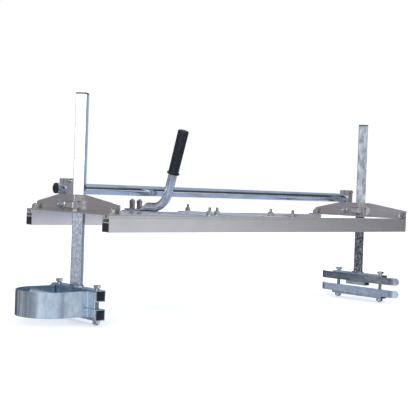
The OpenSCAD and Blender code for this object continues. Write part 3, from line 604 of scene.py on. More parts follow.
def stacked(half_x: float, half_y: float, corner: float, rows: list, steps: int = 5) -> np.ndarray:
    """Rings of a rectangle with round corners, from arcs around its four corner centres.

    Each ring is drawn in by its own inset and set at its own height.

    Args:
        half_x: half the width.
        half_y: half the depth.
        corner: radius of the corners.
        rows: pairs of inset and height.
        steps: points on each corner.

    Returns:
        The rings.
    """
    inset, height = (np.array(rows, float)[:, k, None] for k in (0, 1))
    radius = np.maximum(corner - inset, 0.15 * corner)
    arc = np.concatenate([np.linspace(0, np.pi / 2, steps) + k * np.pi / 2 for k in range(4)])
    sign_x, sign_y = np.repeat([(1, -1, -1, 1), (1, 1, -1, -1)], steps, axis=1)
    return np.stack([sign_x * (half_x - inset - radius) + radius * np.cos(arc),
                     sign_y * (half_y - inset - radius) + radius * np.sin(arc),
                     height * np.ones_like(arc)], -1)


def bead(path: np.ndarray, radius: float, ripple: float) -> np.ndarray:
    """Rings of a weld bead along a path.

    Around each point of the path lies a circle across its direction; the radius swells by a tenth
    with every ripple and falls to a tenth at both ends as the root of 1 minus u to the 8th.

    Args:
        path: points of the middle line.
        radius: radius of the bead.
        ripple: distance between two ripples.

    Returns:
        The rings.
    """
    sides, rows_per_ripple, least_rows = 14, 6, 12
    oblique = (0.12, 0.31, 0.94)    # a direction that no bead runs along
    legs = np.linalg.norm(np.diff(path, axis=0), axis=1)
    run = np.concatenate([[0], np.cumsum(legs)])
    rows = max(least_rows, int(run[-1] / ripple * rows_per_ripple))
    step = np.linspace(0, run[-1], rows)
    middle = np.stack([np.interp(step, run, path[:, k]) for k in range(3)], -1)
    ahead = np.gradient(middle, axis=0)
    ahead /= np.linalg.norm(ahead, axis=1, keepdims=True)
    aside = np.cross(ahead, oblique)
    aside /= np.linalg.norm(aside, axis=1, keepdims=True)
    above = np.cross(aside, ahead)
    span = 2 * step / run[-1] - 1
    size = radius * (1 + 0.1 * np.sin(2 * np.pi * step / ripple))
    size *= 0.1 + 0.9 * np.sqrt(1 - np.clip(np.abs(span), 0, 1) ** 8)
    angle = around(sides)
    circle = aside[:, None] * np.cos(angle)[:, None] + above[:, None] * np.sin(angle)[:, None]
    return middle[:, None] + size[:, None, None] * circle


# Pieces

@dataclass
class Piece:
    """A new piece, gathered from closed shells and made into one object.

    Attributes:
        node: the node that gives its body, and that it stands for.
        ending: what follows the node's name in its own.
        finish: its finish.
        added: whether it only adds to the node, which then stays.
    """

    node: str
    ending: str
    finish: Finish
    added: bool = False
    points: list[np.ndarray] = field(default_factory=list)
    faces: list[list[int]] = field(default_factory=list)
    count: int = 0

    def add(self, rings: np.ndarray, at: Place = (0, 0, 0), axis: Place = UP,
            looped: bool = False) -> None:
        """Adds a shell whose faces join each ring to the next.

        Quad (i, j) joins points j and j + 1 of ring i to those of ring i + 1. A flat face closes
        each end, or the last ring joins the first. The signed volume tells whether the faces point
        outwards, and if not they are turned.

        Args:
            rings: points in rows and columns.
            at: where their origin goes.
            axis: the direction that their +Z takes.
            looped: whether the last ring joins the first.
        """
        rows, columns = rings.shape[:2]
        row = np.arange(rows if looped else rows - 1)[:, None] * columns
        after = (row + columns) % (rows * columns)
        column = np.arange(columns)[None]
        beside = (column + 1) % columns
        quads = np.stack([row + column, row + beside, after + beside, after + column], -1)
        quads = quads.reshape(-1, 4)
        flat = (rings @ axes_along(axis) + np.asarray(at)).reshape(-1, 3)
        caps = [] if looped else [column[0, ::-1], (rows - 1) * columns + column[0]]
        corners = np.concatenate([quads[:, [0, 1, 2]], quads[:, [0, 2, 3]]] + [
            np.stack([np.full(columns - 2, cap[0]), cap[1:-1], cap[2:]], -1) for cap in caps])
        a, b, c = (flat[corners[:, k]] - flat.mean(0) for k in range(3))
        turn = -1 if np.einsum("ij,ij->", a, np.cross(b, c)) < 0 else 1
        self.points.append(flat)
        self.faces += [(face[::turn] + self.count).tolist() for face in [*quads, *caps]]
        self.count += len(flat)

    def make(self, crease: float = CREASE) -> None:
        """Makes the object, rides it on its body and hides the node that it stands for.

        Args:
            crease: angle in degrees over which an edge stays sharp.
        """
        mesh = bpy.data.meshes.new(f"{self.node}_{self.ending}")
        mesh.from_pydata(np.concatenate(self.points).tolist(), [], self.faces)
        set_up(mesh, self.node, self.finish, crease, self.added)


def set_up(mesh: bpy.types.Mesh, node: str, finish: Finish, crease: float,
           added: bool = False) -> bpy.types.Object:
    """Shades a mesh, gives it its finish and ties it to the model.

    Args:
        mesh: the mesh, in place, under the object's name.
        node: the node whose body it shares.
        finish: its finish.
        crease: angle in degrees over which an edge stays sharp.
        added: whether it only adds to the node, which then stays.

    Returns:
        The object.
    """
    mesh.shade_smooth()
    mesh.set_sharp_from_angle(angle=math.radians(crease))
    mesh.materials.append(finish.material())
    made = bpy.data.objects.new(mesh.name, mesh)
    bpy.context.scene.collection.objects.link(made)
    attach(made, BODY_OF[node])
    if not added:
        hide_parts(node)
    log.info("%s: %d faces, finish %s", made.name, len(mesh.polygons), finish.name)
    return made


def box_of(node: str) -> Box:
    """Lowest and highest corner of a node at rest."""
    low, high = (np.array(corner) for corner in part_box(node))
    return low, high


def corners_of(node: str) -> tuple[np.ndarray, np.ndarray]:
    """Points of a node without doubles, and the three points of each of its triangles.

    Args:
        node: the node's name.

    Returns:
        The points and the triangles.
    """
    mesh = frame["nodes"][node].data
    places = np.empty(len(mesh.vertices) * 3)
    mesh.vertices.foreach_get("co", places)
    loops = np.empty(len(mesh.loops), int)
    mesh.loops.foreach_get("vertex_index", loops)
    points, same = np.unique(np.round(places.reshape(-1, 3), 6), axis=0, return_inverse=True)
    triangles = same.reshape(-1)[loops].reshape(-1, 3)
    distinct = (triangles != np.roll(triangles, 1, axis=1)).all(axis=1)
    return points, triangles[distinct]


def solids_of(node: str) -> list[Box]:
    """Boxes of the separate solids of a node, in the order of X + Y.

    Each point takes the lowest label in its triangles until no label changes.

    Args:
        node: the node's name.

    Returns:
        The lowest and highest corner of each solid.
    """
    points, triangles = corners_of(node)
    label, before = np.arange(len(points)), None
    while before is None or (before != label).any():
        before = label.copy()
        np.minimum.at(label, triangles, label[triangles].min(axis=1, keepdims=True))
    boxes = [(points[label == k].min(0), points[label == k].max(0)) for k in np.unique(label)]
    return sorted(boxes, key=lambda box: box[0][0] + box[0][1])


def softened(node: str, finish: Finish, edge: float = 0.3 * MM, crease: float = CREASE) -> None:
    """Puts a copy of a node in its place, merged, with its edges broken by a small bevel.

    Args:
        node: the node's name.
        finish: its finish.
        edge: width of the bevel.
        crease: angle in degrees over which an edge is bevelled.
    """
    points, triangles = corners_of(node)
    mesh = bpy.data.meshes.new(node + "_softened")
    mesh.from_pydata(points.tolist(), [], triangles.tolist())
    work = bmesh.new()
    work.from_mesh(mesh)
    bmesh.ops.dissolve_limit(work, angle_limit=math.radians(FLUSH), verts=work.verts,
                             edges=work.edges)
    work.to_mesh(mesh)
    work.free()
    bevel = set_up(mesh, node, finish, crease).modifiers.new("broken edges", "BEVEL")
    bevel.width, bevel.segments = edge, 2
    bevel.limit_method, bevel.angle_limit = "ANGLE", math.radians(crease)
    bevel.harden_normals = True


def weld(node: str, paths: list, radius: float, ripple: float = 2.2 * MM) -> None:
    """Lays weld beads of one size on a node, which stays.

    Args:
        node: the node's name.
        paths: for each bead the points of its middle line.
        radius: radius of the beads.
        ripple: distance between two ripples.
    """
    beads = Piece(node, "welds", WELD_ZINC, True)
    for path in paths:
        beads.add(bead(np.array(path), radius, ripple))
    beads.make()


# Fasteners

M6 = Thread(6 * MM, 1.0 * MM)
M8 = Thread(8 * MM, 1.25 * MM)
M10 = Thread(10 * MM, 1.5 * MM)
M12 = Thread(12 * MM, 1.75 * MM)
M8_FLATS, M8_WASHER = 13 * MM, 2.0 * MM
SUNK = 1 * MM                       # how far below the top of its nut a bolt's thread begins


@dataclass(frozen=True)
class Fastener:
    """What bolts and nuts have in common: each fills the box of a solid along one axis.

    Attributes:
        thread: its thread.
        axis: the axis that it lies along.
        sign: 1 where it runs up that axis from its head or seat, -1 where it runs down it.
    """

    ending: ClassVar[str] = "threaded"
    thread: Thread
    axis: Axis = Axis.Z
    sign: int = 1

    def run(self, box: Box) -> tuple[np.ndarray, np.ndarray, float]:
        """Finds how it lies in its box.

        Args:
            box: the box.

        Returns:
            Its foot, its direction and its length.
        """
        low, high = box
        number = self.axis.value
        direction = np.zeros(3)
        direction[number] = self.sign
        foot = (low + high) / 2
        foot[number] = (low if self.sign > 0 else high)[number]
        return foot, direction, (high - low)[number]

    def add_to(self, piece: Piece, box: Box) -> None:
        """Adds its shells to a piece; each kind of fastener has its own."""
        raise NotImplementedError


@dataclass(frozen=True, kw_only=True)
class HexBolt(Fastener):
    """A bolt with a hexagon head, bare for some way under the head and threaded from there on."""

    flats: float
    head: float
    bare: float

    def add_to(self, piece: Piece, box: Box) -> None:
        """Adds the head and the rod.

        Args:
            piece: the piece that gets them.
            box: the bolt's box.
        """
        foot, direction, length = self.run(box)
        seat = foot + self.head * direction
        piece.add(hexagon(self.flats, self.head), seat, -direction)
        piece.add(self.thread.rod(-0.5 * MM, self.bare, length - self.head), seat, direction)


@dataclass(frozen=True, kw_only=True)
class SlotBolt(Fastener):
    """A bolt with a T head for a rail's slot, threaded from a given level on."""

    thread_level: float
    head: float = 4.4 * MM
    corner: float = 1.5 * MM
    edge: float = 0.5 * MM

    def add_to(self, piece: Piece, box: Box) -> None:
        """Adds the head and the rod.

        Args:
            piece: the piece that gets them.
            box: the bolt's box.
        """
        foot, direction, length = self.run(box)
        half = (box[1] - box[0]) / 2
        piece.add(stacked(half[0], half[1], self.corner, [
            (self.edge, 0), (0, self.edge), (0, self.head - self.edge), (self.edge, self.head)]),
            foot, direction)
        piece.add(self.thread.rod(self.head - self.edge, self.thread_level - foot[2], length),
                  foot, direction)


@dataclass(frozen=True, kw_only=True)
class Nut(Fastener):
    """A hexagon nut, on a washer where it has one."""

    ending: ClassVar[str] = "chamfered"
    flats: float
    washer: float = 0.0
    clearance: float = 0.1 * MM
    chamfer: float = 0.475

    def add_to(self, piece: Piece, box: Box) -> None:
        """Adds the washer, as wide as the box, and the nut.

        Args:
            piece: the piece that gets them.
            box: the nut's box.
        """
        foot, direction, length = self.run(box)
        bore = self.thread.diameter / 2 + self.clearance
        if self.washer:
            radius = (box[1] - box[0])[(self.axis.value + 1) % 3] / 2
            piece.add(washer(radius, bore, self.washer), foot, direction, True)
        piece.add(hexagon(self.flats, length - self.washer, bore, self.chamfer),
                  foot + self.washer * direction, direction, True)


def fasten(node: str, *forms: Fastener, finish: Finish = BOLT_ZINC) -> None:
    """Makes one piece in place of a node, with a fastener in the box of each of its solids.

    Args:
        node: the node's name.
        forms: the fasteners in the order of the solids; the last one serves all that follow.
        finish: their finish.
    """
    piece = Piece(node, forms[0].ending, finish)
    for number, box in enumerate(solids_of(node)):
        forms[min(number, len(forms) - 1)].add_to(piece, box)
    piece.make()


def fasten_in_slots(bolts: str, nuts: str) -> None:
    """Makes a set of T-headed bolts in the rails' slots, with their washers and nuts.

    Args:
        bolts: the bolts' node.
        nuts: the nuts' node.
    """
    fasten(bolts, *(SlotBolt(M8, thread_level=high[2] - SUNK) for _, high in solids_of(nuts)))
    fasten(nuts, Nut(M8, flats=M8_FLATS, washer=M8_WASHER))


# Sub-assemblies

@dataclass
class Rails:
    """The two slotted rails and the plugs in their ends."""

    edge: float = 0.3 * MM

    def build(self) -> None:
        """Gives both rails and their plugs broken edges and their finish."""
        softened("front_rail", RAIL_METAL, self.edge)
        softened("rear_rail", REAR_RAIL_METAL_PAINTED_LIGHTER, self.edge)
        softened("rail_end_plugs", CAP_PLASTIC, self.edge)


@dataclass
class BracketSet:
    """The bent bracket on the rails, with what grips the post and the push bar."""

    side: Side
    sheet_edge: float = 0.5 * MM
    weld: float = 1.7 * MM
    weld_end: float = 2 * MM
    weld_foot: float = 3 * MM
    strap_flats: float = 18 * MM
    strap_head: float = 7.5 * MM
    strap_bare: float = 10 * MM
    strap_washer: float = 2.6 * MM
    pinch_flats: float = 10 * MM
    pinch_head: float = 4.2 * MM
    pinch_bare: float = 24 * MM

    def build(self) -> None:
        """Builds the sheet parts, the fasteners and the welds."""
        node = self.side.node
        softened(node("bracket"), SHEET_STEEL, self.sheet_edge)
        softened(node("strap"), STRAP_ZINC, self.sheet_edge)
        softened(node("vee_block"), BLOCK_STEEL, self.sheet_edge)
        softened(node("clamp_block"), BLOCK_STEEL, self.sheet_edge)
        fasten_in_slots(node("bracket_bolts"), node("bracket_nuts"))
        fasten(node("strap_bolt"), HexBolt(M12, Axis.X, -1, flats=self.strap_flats,
                                           head=self.strap_head, bare=self.strap_bare))
        fasten(node("strap_nut"), Nut(M12, Axis.X, -1, flats=self.strap_flats,
                                      washer=self.strap_washer))
        fasten(node("pinch_bolt"), HexBolt(M6, Axis.Y, -1, flats=self.pinch_flats,
                                           head=self.pinch_head, bare=self.pinch_bare))
        fasten(node("pinch_nut"), Nut(M6, Axis.Y, -1, flats=self.pinch_flats))
        self.build_welds()

    def build_welds(self) -> None:
        """Beads beside the vee block and the clamp block, where they meet the web."""
        vee_low, vee_high = box_of(self.side.node("vee_block"))
        low, high = box_of(self.side.node("clamp_block"))
        web_top = box_of(self.side.node("bracket"))[1][2]
        inset, end = 0.4 * self.weld, self.weld_end
        paths = [[(vee_high[0] - inset, y, z) for z in (vee_low[2] + end, vee_high[2] - end)]
                 for y in (vee_low[1] - inset, vee_high[1] + inset)]
        paths += [[(low[0] + inset, y, z) for z in (low[2] + self.weld_foot, web_top - end)]
                  for y in (low[1] - inset, high[1] + inset)]
        paths += [[(low[0] - inset, y, web_top + inset) for y in (low[1] + end, high[1] - end)]]
        weld(self.side.node("bracket"), paths, self.weld)


@dataclass
class Mast:
    """A square post with its cap and the clamp bar that is welded to its foot."""

    side: Side
    cap: float = 2.0 * MM
    skirt: float = 1.4 * MM
    proud: float = 0.25 * MM
    cap_edge: float = 0.6 * MM
    tube_corner: float = 1.6 * MM
    weld: float = 3.1 * MM
    weld_offset: float = 1.25 * MM
    weld_end: float = 0.4 * MM
    weld_bend: float = 1.5 * MM
    ripple: float = 3.2 * MM
    bolt_head: float = 6.4 * MM

    def build(self) -> None:
        """Builds the post, the bar, the welds between them, the caps and the bolts."""
        node = self.side.node
        softened(node("post"), LEFT_POST_ZINC_PAINTED_HIGHLIGHT if self.side is Side.LEFT else RIGHT_POST_ZINC)
        softened(node("upper_bar"), BAR_ZINC)
        self.build_cap()
        self.build_welds()
        BarPlugs(node("upper_bar_plugs")).build()
        low, high = solids_of(node("clamp_bolts"))[0]
        bare = high[2] - self.bolt_head - box_of(node("upper_bar"))[0][2]
        fasten(node("clamp_bolts"), HexBolt(M10, Axis.Z, -1, flats=high[1] - low[1],
                                            head=self.bolt_head, bare=bare))

    def build_cap(self) -> None:
        """A thin square cap with a short skirt, turned with the post, its upper edges rounded."""
        low, high = box_of(self.side.node("post_cap"))
        half = (high[0] - low[0] + 2 * self.tube_corner * (math.sqrt(2) - 1)) / 2 / math.sqrt(2)
        edge = self.cap_edge
        rings = stacked(half, half, self.tube_corner,
                        [(0.5 * MM, -self.skirt), (-self.proud, -self.skirt),
                         (-self.proud, self.cap - edge), (0.3 * edge, self.cap - 0.3 * edge),
                         (edge, self.cap - 0.1 * MM), (3 * MM, self.cap), (half - MM, self.cap)])
        turn = math.sqrt(0.5)
        middle = (low + high) / 2
        cap = Piece(self.side.node("post_cap"), "moulded", CAP_PLASTIC)
        cap.add(rings @ np.array([(turn, turn, 0), (-turn, turn, 0), UP]),
                (middle[0], middle[1], high[2] - self.cap))
        cap.make()

    def build_welds(self) -> None:
        """Two beads, each around the half of the post that lies on the bar."""
        low, high = box_of(self.side.node("post"))
        bar_low, bar_high = box_of(self.side.node("upper_bar"))
        middle = (low + high) / 2
        corner = (high[0] - low[0]) / 2 + self.weld_offset * math.sqrt(2)
        reach = (bar_high[0] - bar_low[0]) / 2 - self.weld_end
        bend = self.weld_bend
        paths = [[(middle[0] + x, middle[1] + sign * (corner - abs(x)),
                   low[2] + self.weld_offset) for x in (-reach, -bend, bend, reach)]
                 for sign in (-1, 1)]
        weld(self.side.node("post"), paths, self.weld, self.ripple)


@dataclass
class BarPlugs:
    """The black plugs in the ends of a clamp bar: a soft square whose rim stands proud."""

    node: str
    corner: float = 1.6 * MM
    root: float = 0.6 * MM
    edge: float = 0.5 * MM
    rim: float = 1.8 * MM
    hollow: float = 0.35 * MM

    def build(self) -> None:
        """Builds both plugs, each from the bar outwards."""
        plugs = Piece(self.node, "moulded", CAP_PLASTIC)
        for (low, high), outwards in zip(solids_of(self.node), (-1, 1)):
            half, deep = (high[0] - low[0]) / 2, high[1] - low[1]
            floor = deep - self.hollow
            middle = (low + high) / 2
            middle[1] = (low if outwards > 0 else high)[1]
            plugs.add(stacked(half, half, self.corner, [
                (0.4 * MM, 0), (0, self.root), (0, deep - self.edge),
                (0.3 * self.edge, deep - 0.3 * self.edge), (1.2 * self.edge, deep),
                (self.rim, deep), (self.rim + 0.3 * MM, floor), (half - 2 * MM, floor)]),
                middle, (0, outwards, 0))
        plugs.make()


@dataclass
class Jaw:
    """A lower clamp bar with its plugs and nuts."""

    side: Side
    clearance: float = 0.3 * MM

    def build(self) -> None:
        """Builds the bar, its plugs and the nuts under it."""
        softened(self.side.node("lower_bar"), BAR_ZINC)
        BarPlugs(self.side.node("lower_bar_plugs")).build()
        nuts = self.side.node("clamp_nuts")
        low, high = solids_of(nuts)[0]
        fasten(nuts, Nut(M10, flats=high[1] - low[1], clearance=self.clearance))


@dataclass
class NoseGuard:
    """The round band at the left clamp, held by two short welds at its feet."""

    edge: float = 0.5 * MM
    weld: float = 1.5 * MM
    weld_start: float = 2 * MM
    weld_length: float = 11 * MM

    def build(self) -> None:
        """Builds the band and its welds."""
        softened("nose_guard", GUARD_ZINC, self.edge, STRIP_CREASE)
        low, high = box_of("nose_guard")
        bar_side = box_of("left_upper_bar")[0][0]
        weld("nose_guard", [[(bar_side, end + inwards * reach, high[2])
                             for reach in (self.weld_start, self.weld_start + self.weld_length)]
                            for end, inwards in ((low[1], 1), (high[1], -1))], self.weld)


@dataclass
class WearStrips:
    """The two strips with turned-out ends on the right clamp, and the pad in its gap."""

    edge: float = 0.5 * MM

    def build(self) -> None:
        """Builds both strips and the pad."""
        softened("right_upper_wear_strip", UPPER_WEAR_ZINC, self.edge, STRIP_CREASE)
        softened("right_lower_wear_strip", LOWER_WEAR_ZINC, self.edge, STRIP_CREASE)
        softened("clamp_pad", BAR_ZINC)


@dataclass
class PushBar:
    """The round tube behind the posts and its two caps."""

    wall: float = 2.0 * MM
    cap: float = 2.5 * MM
    lip: float = 1.1 * MM
    stem: float = 6 * MM
    play: float = 0.1 * MM
    edge: float = 0.3 * MM
    sides: int = 72

    def build(self) -> None:
        """Builds the tube and the caps."""
        low, high = box_of("push_bar")
        radius, length = (high[2] - low[2]) / 2, high[0] - low[0]
        middle = (low + high) / 2
        inner, edge, snug = radius - self.wall, self.edge, radius - self.wall - self.play
        tube = Piece("push_bar", "drawn", TUBE_ZINC)
        tube.add(lathe([(inner, 0), (radius - edge, 0), (radius, edge), (radius, length - edge),
                        (radius - edge, length), (inner, length)], self.sides),
                 (low[0], middle[1], middle[2]), (1, 0, 0), True)
        tube.make()
        lip = [(radius - self.lip + self.lip * math.cos(a),
                self.cap - self.lip + self.lip * math.sin(a)) for a in np.linspace(0, np.pi / 2, 6)]
        profile = [(inner - edge, -self.stem), (snug, MM - self.stem), (snug, 0),
                   (radius, 0), *lip, (0.75 * radius, self.cap), (0.7 * radius, self.cap - edge),
                   (0.1 * radius, self.cap - edge)]
        caps = Piece("push_bar_caps", "moulded", CAP_PLASTIC)
        for x, outwards in ((low[0], -1), (high[0], 1)):
            caps.add(lathe(profile), (x, middle[1], middle[2]), (outwards, 0, 0))
        caps.make()


@dataclass
class Handle:
    """The bent handle on its plate, with a flattened end, a grip and its bolts.

    Its middle line runs from the tip along -Y, turns up through a bend and goes on straight,
    leaning back from upright by some degrees. The grip begins a neck beyond the bend.
    """

    diameter: float = 22 * MM
    sides: int = 56
    bend: float = 60 * MM
    lean: float = 18.7
    reach: float = 163.4 * MM
    neck: float = 46 * MM
    flat_length: float = 71 * MM
    taper: float = 26 * MM
    flat: float = 4.6 * MM
    width: float = 30 * MM
    grip_length: float = 112 * MM
    grip: float = 27 * MM
    collar: float = 32 * MM
    collar_height: float = 4 * MM
    soft: float = 3 * MM
    flare: float = 0.7 * MM
    rib: float = 0.12 * MM
    ribs: int = 20
    nut_flats: float = 14 * MM
    nut_chamfer: float = 0.497
    head: float = 8 * MM
    crease: float = 50.0
    x: float = field(init=False)
    base: float = field(init=False)
    tip: float = field(init=False)
    turn: float = field(init=False)

    def __post_init__(self) -> None:
        """Reads the tube's place from its node, and works out the angle of its bend."""
        low, high = box_of("handle_tube")
        self.x, self.base, self.tip = (low[0] + high[0]) / 2, low[2], high[1]
        self.turn = math.radians(90 - self.lean)

    def build(self) -> None:
        """Builds plate, tube, grip, nuts and bolts."""
        softened("handle_plate", FLAT_ZINC, 0.4 * MM)
        self.build_tube()
        self.build_grip()
        fasten("handle_tall_nuts", Nut(M8, flats=self.nut_flats, chamfer=self.nut_chamfer),
               finish=NUT_ZINC)
        inner = solids_of("handle_bolts")[0][0][2]
        top = solids_of("handle_tall_nuts")[0][1][2] - SUNK
        fasten("handle_bolts",
               HexBolt(M8, flats=M8_FLATS, head=self.head, bare=top - inner - self.head),
               SlotBolt(M8, thread_level=top))
        fasten_in_slots("handle_plate_bolts", "handle_plate_nuts")

    def corner(self) -> float:
        """The place along Y where the bend begins."""
        return self.tip - self.reach + self.bend * math.tan(self.turn / 2)

    def middle(self, angle: float | np.ndarray,
               beyond: float | np.ndarray = 0.0) -> tuple[np.ndarray, np.ndarray]:
        """Finds points of the middle line: a circle, and its tangent from an angle on.

        Args:
            angle: angle in the bend in radians.
            beyond: how far along the tangent.

        Returns:
            The points' Y and Z.
        """
        return (self.corner() - self.bend * np.sin(angle) - beyond * np.cos(angle),
                self.base + self.diameter / 2 + self.bend * (1 - np.cos(angle))
                + beyond * np.sin(angle))

    def build_tube(self) -> None:
        """Builds the tube: a section carried from the flattened tip through the bend to the grip.

        The section at angle a is ((w - t) tanh(3 cos a) + t cos a, t sin a), with half width w and
        half thickness t; w and t ease from the flat strip to the round tube, and near the tip w
        follows a half circle in plan.
        """
        half, thin, round_ = self.width / 2, self.flat / 2, self.diameter / 2
        tip_rows, flat_rows, taper_rows, bend_rows = 10, 8, 22, 33
        tip_run = half * (1 - np.cos(np.linspace(0.12, np.pi / 2, tip_rows)))
        run = np.concatenate([tip_run, np.linspace(half + 4 * MM, self.flat_length, flat_rows),
                              self.flat_length + np.linspace(0, self.taper, taper_rows)[1:],
                              [self.tip - self.corner() - 2 * MM]])
        ease = np.clip((run - self.flat_length) / self.taper, 0, 1)
        ease = ease * ease * (3 - 2 * ease)
        wide = half + (round_ - half) * ease
        wide[:tip_rows] = np.sqrt(half ** 2 - (half - tip_run) ** 2)
        thick = thin + (round_ - thin) * ease
        base_z = self.base + thick
        thick[:2] *= (0.6, 0.9)
        beta = np.linspace(0, self.turn, bend_rows)
        away = np.array([0.3, 1]) * (self.neck + 0.4 * self.grip_length)
        middle_y, middle_z = (np.concatenate(parts)[:, None] for parts in zip(
            (self.tip - run, base_z), self.middle(beta), self.middle(self.turn, away)))
        tilt = np.concatenate([np.zeros(len(run)), beta, np.full(2, self.turn)])[:, None]
        wide, thick = (np.pad(size, (0, bend_rows + 2), constant_values=round_)[:, None]
                       for size in (wide, thick))
        angle = (np.arange(self.sides) + 0.5) * 2 * np.pi / self.sides
        spread = (wide - thick) * np.tanh(3 * np.cos(angle)) / math.tanh(3)
        across = np.where(wide < thick, wide * np.cos(angle), spread + thick * np.cos(angle))
        above = thick * np.sin(angle)
        tube = Piece("handle_tube", "bent", HANDLE_ZINC)
        tube.add(np.stack([self.x + across, middle_y + above * np.sin(tilt),
                           middle_z + above * np.cos(tilt)], -1))
        tube.make(self.crease)

    def build_grip(self) -> None:
        """Builds the grip: a lathe form with a rolled collar, a slight flare and a flat end."""
        inner, outer = self.diameter / 2 + 0.1 * MM, self.grip / 2
        roll, lip, soft = self.collar_height / 2, self.collar / 2, self.soft
        collar = [(lip - roll + roll * math.cos(a), roll + roll * math.sin(a))
                  for a in np.linspace(-np.pi / 2, np.pi / 2, 9)]
        body = [(outer - self.flare * (1 - u)
                 - self.rib * math.cos(2 * self.ribs * math.pi * u) * (u < 0.97),
                 self.collar_height + u * (self.grip_length - 7.5 * MM))
                for u in np.linspace(0, 1, 2 * self.ribs)[1:]]
        end = [(outer - soft + soft * math.cos(a), self.grip_length - soft + soft * math.sin(a))
               for a in np.linspace(0.1, np.pi / 2, 7)]
        profile = [(inner, 0.5 * MM), *collar, (outer - 0.2 * MM, self.collar_height + 0.4 * MM),
                   *body, *end, (0.4 * outer, self.grip_length), (0.05 * outer, self.grip_length)]
        grip = Piece("handle_grip", "moulded", GRIP_VINYL)
        grip.add(lathe(profile, 64), (self.x, *self.middle(self.turn, self.neck)),
                 (0, -math.cos(self.turn), math.sin(self.turn)))
        grip.make(self.crease)


@dataclass
class CrossTie:
    """The flat plate across both rails and the lone stop bolt beside it."""

    edge: float = 0.4 * MM

    def build(self) -> None:
        """Builds the plate and the bolts."""
        softened("cross_plate", PLATE_METAL, self.edge)
        fasten_in_slots("cross_plate_bolts", "cross_plate_nuts")
        fasten_in_slots("stop_bolt", "stop_nut")


# Studio

def hang(name: str, data: bpy.types.Light | bpy.types.Camera, at: tuple,
         axes: np.ndarray) -> bpy.types.Object:
    """Puts a lamp or camera in the scene.

    Args:
        name: its name.
        data: the lamp or camera.
        at: where it hangs.
        axes: its axes, one in each row; it faces away from the last.

    Returns:
        Its object.
    """
    made = bpy.data.objects.new(name, data)
    made.matrix_world = Matrix.Translation(at) @ Matrix(axes.T.tolist()).to_4x4()
    bpy.context.scene.collection.objects.link(made)
    return made


@dataclass(frozen=True)
class Softbox:
    """A rectangular lamp that the camera doesn't see."""

    name: str
    at: tuple
    towards: tuple
    width: float
    depth: float
    watts: float
    mirrored: bool = True

    def build(self) -> None:
        """Hangs the lamp."""
        data = bpy.data.lights.new(self.name, "AREA")
        data.shape, data.energy = "RECTANGLE", self.watts
        data.size, data.size_y = self.width, self.depth
        lamp = hang(self.name, data, self.at, axes_along(np.subtract(self.at, self.towards)))
        lamp.visible_camera, lamp.visible_glossy = False, self.mirrored


